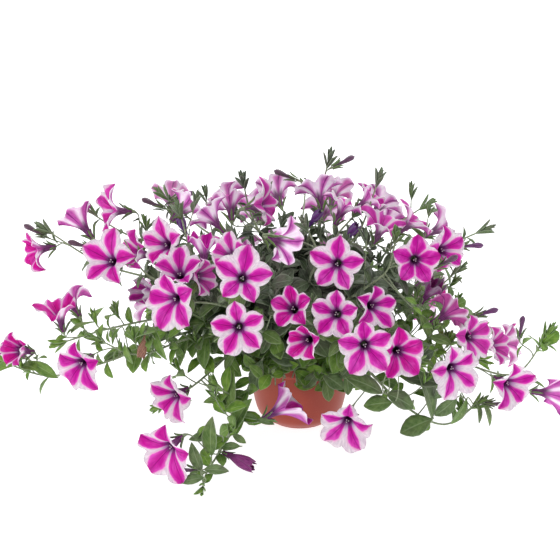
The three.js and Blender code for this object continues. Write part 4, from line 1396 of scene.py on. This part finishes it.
def addTwig(greens, stalks, points, kind, base, facing, sepalLength, sepalSeed, seed):
    # the twig of a bloom or bud from its stem to its base, with its calyx and leaves
    way = twigWays[kind]
    share = forkShare(points, base + facing * way["ahead"], facing)
    start = between(points, share)
    reach = twigPlan["bend"] * (base - start).length
    leaving = ((base - start).normalized() + directionOn(points, share)).normalized()
    places = (start, start + leaving * reach, base - facing * reach, base)
    twig = list(interpolate_bezier(*places, way["points"]))
    stalks.append((twig, [twigPlan["radius"]] * (len(twig) - len(way["mouth"])) + way["mouth"]))
    addCalyx(greens, base - facing * way["calyxBack"], facing, sepalLength, way["spread"], sepalSeed)
    addLeaves(greens, twig, way, twigPlan["leafScale"], seed)


def addFlower(greens, petals, flower, stalks, points):
    # a bloom on its twig
    facing = flower["facing"]
    seed = flower["seed"]
    look = {"tone": lookRange["tone"] * draw(seed + 61) ** 2, "scale": 1.0,
            "broad": swing(lookRange["broad"], seed + 63), "cup": drawn(*lookRange["cup"], seed + 60)}
    if flower["kind"] == "joined":
        look["pale"] = lookRange["pale"] * draw(seed + 62)
    if flower["kind"] == "furled":
        look.update(furledLook)
    look.update(bloomLooks.get(flower["name"], {}))
    cup, scale = look.pop("cup"), look.pop("scale")
    tubeShare = 0.5 if flower["kind"] == "furled" else 1.0
    base = flower["centre"] - facing * bloomPlan["tubeLength"] * tubeShare
    sepalLength = lerp(*sepalLengths, scale)
    addTwig(greens, stalks, points, "bloom", base, facing, sepalLength, seed, seed + 500)
    # the lobes that point away from the plant's middle height are the longest
    over = math.pi if flower["centre"].z > bloomPlan["middle"] else 0
    heavy = math.atan2(facing.y, facing.x) + over
    mesh = corolla(flower["size"], flower["spin"], seed, cup, heavy)
    raised = Matrix.Translation((0, 0, bloomPlan["tubeLength"]))
    addMesh(petals, mesh, facingTurn(base, facing) @ Matrix.Scale(scale, 4) @ raised, look)


def buildSpray(plan, number):
    name = plan["name"]
    points = mainStem(plan)
    stalks = [(points, tapered(stemPlan, len(points)))]
    greens = newGreens()
    petals = newGreens()
    seed = 1000 * number
    for flower in flowerPlaces(plan, number):
        if flower["kind"] == "blooms":
            piece = newGreens()
            addFlower(greens, piece, flower, stalks, points)
            node = flower["node"]
            finishPiece(piece, f"petals_{node}", petalPaints, [f"bloom_{node}"])
        else:
            addFlower(greens, petals, flower, stalks, points)
    for i, place in enumerate(plan.get("buds", [])):
        facing = Vector(place[3:]).normalized()
        base = Vector(place[:3]) - facing * budPlan["length"] / 2
        sepals = (budPlan["sepalLength"], seed + 70 + i)
        addTwig(greens, stalks, points, "bud", base, facing, *sepals, seed + 80 + i)
        addMesh(petals, bud, facingTurn(base, facing), {"tone": draw(seed + 90 + i)}, petalSlots["bud"])
    stalks += sideShoots(greens, points, seed + 200)
    stalks += rimShoots(greens, plan, seed + 800)
    stalks += addBroadLeaves(greens, points, name, seed + 700)
    addLeaves(greens, points, stemPlan, 1.0, seed + 300)
    addSkirt(greens, points, seed + 600)
    addTuft(greens, points[-1], points, stemPlan["tuft"], seed + 400)
    greens.from_mesh(stemPainted(stalkMesh(stalks)))
    finishPiece(greens, f"greens_{name}", [leafPaint, stemPaint], [f"spray_{name}"])
    if len(petals.faces):
        finishPiece(petals, f"petals_{name}", petalPaints, [f"spray_{name}"])
    else:
        petals.free()


def stemPainted(mesh):
    # the stalks' mesh, with every face in the second paint
    mesh.materials.clear()
    mesh.materials.append(leafPaint)
    mesh.materials.append(stemPaint)
    mesh.polygons.foreach_set("material_index", [1] * len(mesh.polygons))
    return mesh


# Outlines are distances from the axis and heights
potPlan = {
    "steps": 96,
    "outside": [(0, 1.2), (17.6, 1.2), (18.8, 0.1), (21.6, 0), (22.4, 0.4), (24.0, 2.3), (24.8, 2.75),
                (27.2, 3.3), (28.6, 4.1), (31.2, 6.4), (33.5, 9), (35.4, 13.6), (36.8, 19), (38.2, 26),
                (39.4, 34), (40.1, 41.5), (40.55, 48.4), (40.9, 49.6), (41.7, 50.2), (42.1, 50.8),
                (42.3, 52), (42.6, 62.6), (42.4, 63.5), (41.7, 64), (40.5, 64), (39.9, 63.6),
                (39.6, 62.6)],
    "inside": [(37.3, 33.6), (35.6, 25), (34.4, 18), (31.3, 9), (24, 3.5), (0, 3.5)],
}

soilPlan = {
    "top": 57,
    "radius": 38.6,
    "steps": 64,
    "rings": 22,
    "under": [(38.2, 50), (36.6, 33.9), (33.9, 18.9), (30.6, 8.9), (23.7, 3.8), (0, 3.8)],
    "lumps": [(1.3, 0.22), (0.8, 0.6)],   # their height, and how close together they are
    "crumbs": 320,
    "crumbSize": (0.6, 2.0),
    "crumbReach": 0.97,
}


def spunShape(profile, steps):
    bm = bmesh.new()
    verts = [bm.verts.new((radius, 0, z)) for radius, z in profile]
    edges = [bm.edges.new(pair) for pair in zip(verts, verts[1:])]
    bmesh.ops.spin(bm, geom=verts + edges, cent=(0, 0, 0), axis=(0, 0, 1), angle=2 * math.pi,
                   steps=steps, use_merge=True)
    bmesh.ops.remove_doubles(bm, verts=bm.verts, dist=0.001)
    bmesh.ops.recalc_face_normals(bm, faces=bm.faces)
    return bm


def buildPot():
    bm = spunShape(potPlan["outside"] + potPlan["inside"], potPlan["steps"])
    finishPiece(bm, "plastic_pot", [potPaint], ["pot"])


def buildSoil():
    rings = soilPlan["rings"]
    top = [(soilPlan["radius"] * i / rings, soilPlan["top"]) for i in range(rings + 1)]
    bm = spunShape(top + soilPlan["under"], soilPlan["steps"])
    for vert in bm.verts:
        if vert.co.z > soilPlan["top"] - 1:
            vert.co.z += sum(high * noise.noise(vert.co * close) for high, close in soilPlan["lumps"])
    for n in range(soilPlan["crumbs"]):
        distance = soilPlan["radius"] * soilPlan["crumbReach"] * math.sqrt(draw(9000 + n))
        angle = 2 * math.pi * draw(9500 + n)
        size = lerp(*soilPlan["crumbSize"], draw(9900 + n) ** 2)
        place = Matrix.Translation(polar(distance, angle, soilPlan["top"]))
        turn = Matrix.Rotation(6 * draw(9990 + n), 4, (draw(n), draw(n + 1), 0.5))
        squash = Matrix.Diagonal((size, size * drawn(0.5, 1, 9700 + n), size * 0.6, 1))
        bmesh.ops.create_icosphere(bm, subdivisions=1, radius=1, matrix=place @ turn @ squash)
    finishPiece(bm, "potting_soil", [soilPaint], ["soil"])


def buildFloor():
    bm = bmesh.new()
    radius = lightPlan["floorRadius"] * metresPerMillimetre
    bmesh.ops.create_circle(bm, cap_ends=True, segments=64, radius=radius)
    floor = bpy.data.objects.new("floor", kept(bm, "floor"))
    paint, _ = newPaint("floor")
    fixed = {"Roughness": 0.8, "Base Color": lightPlan["floor"],
             "Emission Color": lightPlan["floorGlow"], "Emission Strength": lightPlan["floorStrength"]}
    floor.data.materials.append(fillPaint(paint, None, fixed))
    scene.collection.objects.link(floor)


petalPaints = [petalFace(), petalBack(), plainPaint("anther dust"), budSkin()]
leafPaint, stemPaint = leafSkin(), plainPaint("stem skin")
potPaint, soilPaint = potPlastic(), plainPaint("potting soil")
print("materials ready")

setView()
setLights()
buildFloor()
buildPot()
buildSoil()
print("pot and soil ready")

plans = allPlans()
for number, plan in enumerate(plans):
    for flower in flowerPlaces(plan, number):
        share = 0.3 if flower["kind"] == "furled" else 1   # a closed bloom takes less room
        limbs.append((flower["centre"], flower["facing"], bloomPlan["radius"] * flower["size"] * share))
for number, plan in enumerate(plans):
    buildSpray(plan, number)
    print("spray", plan["name"], "ready")
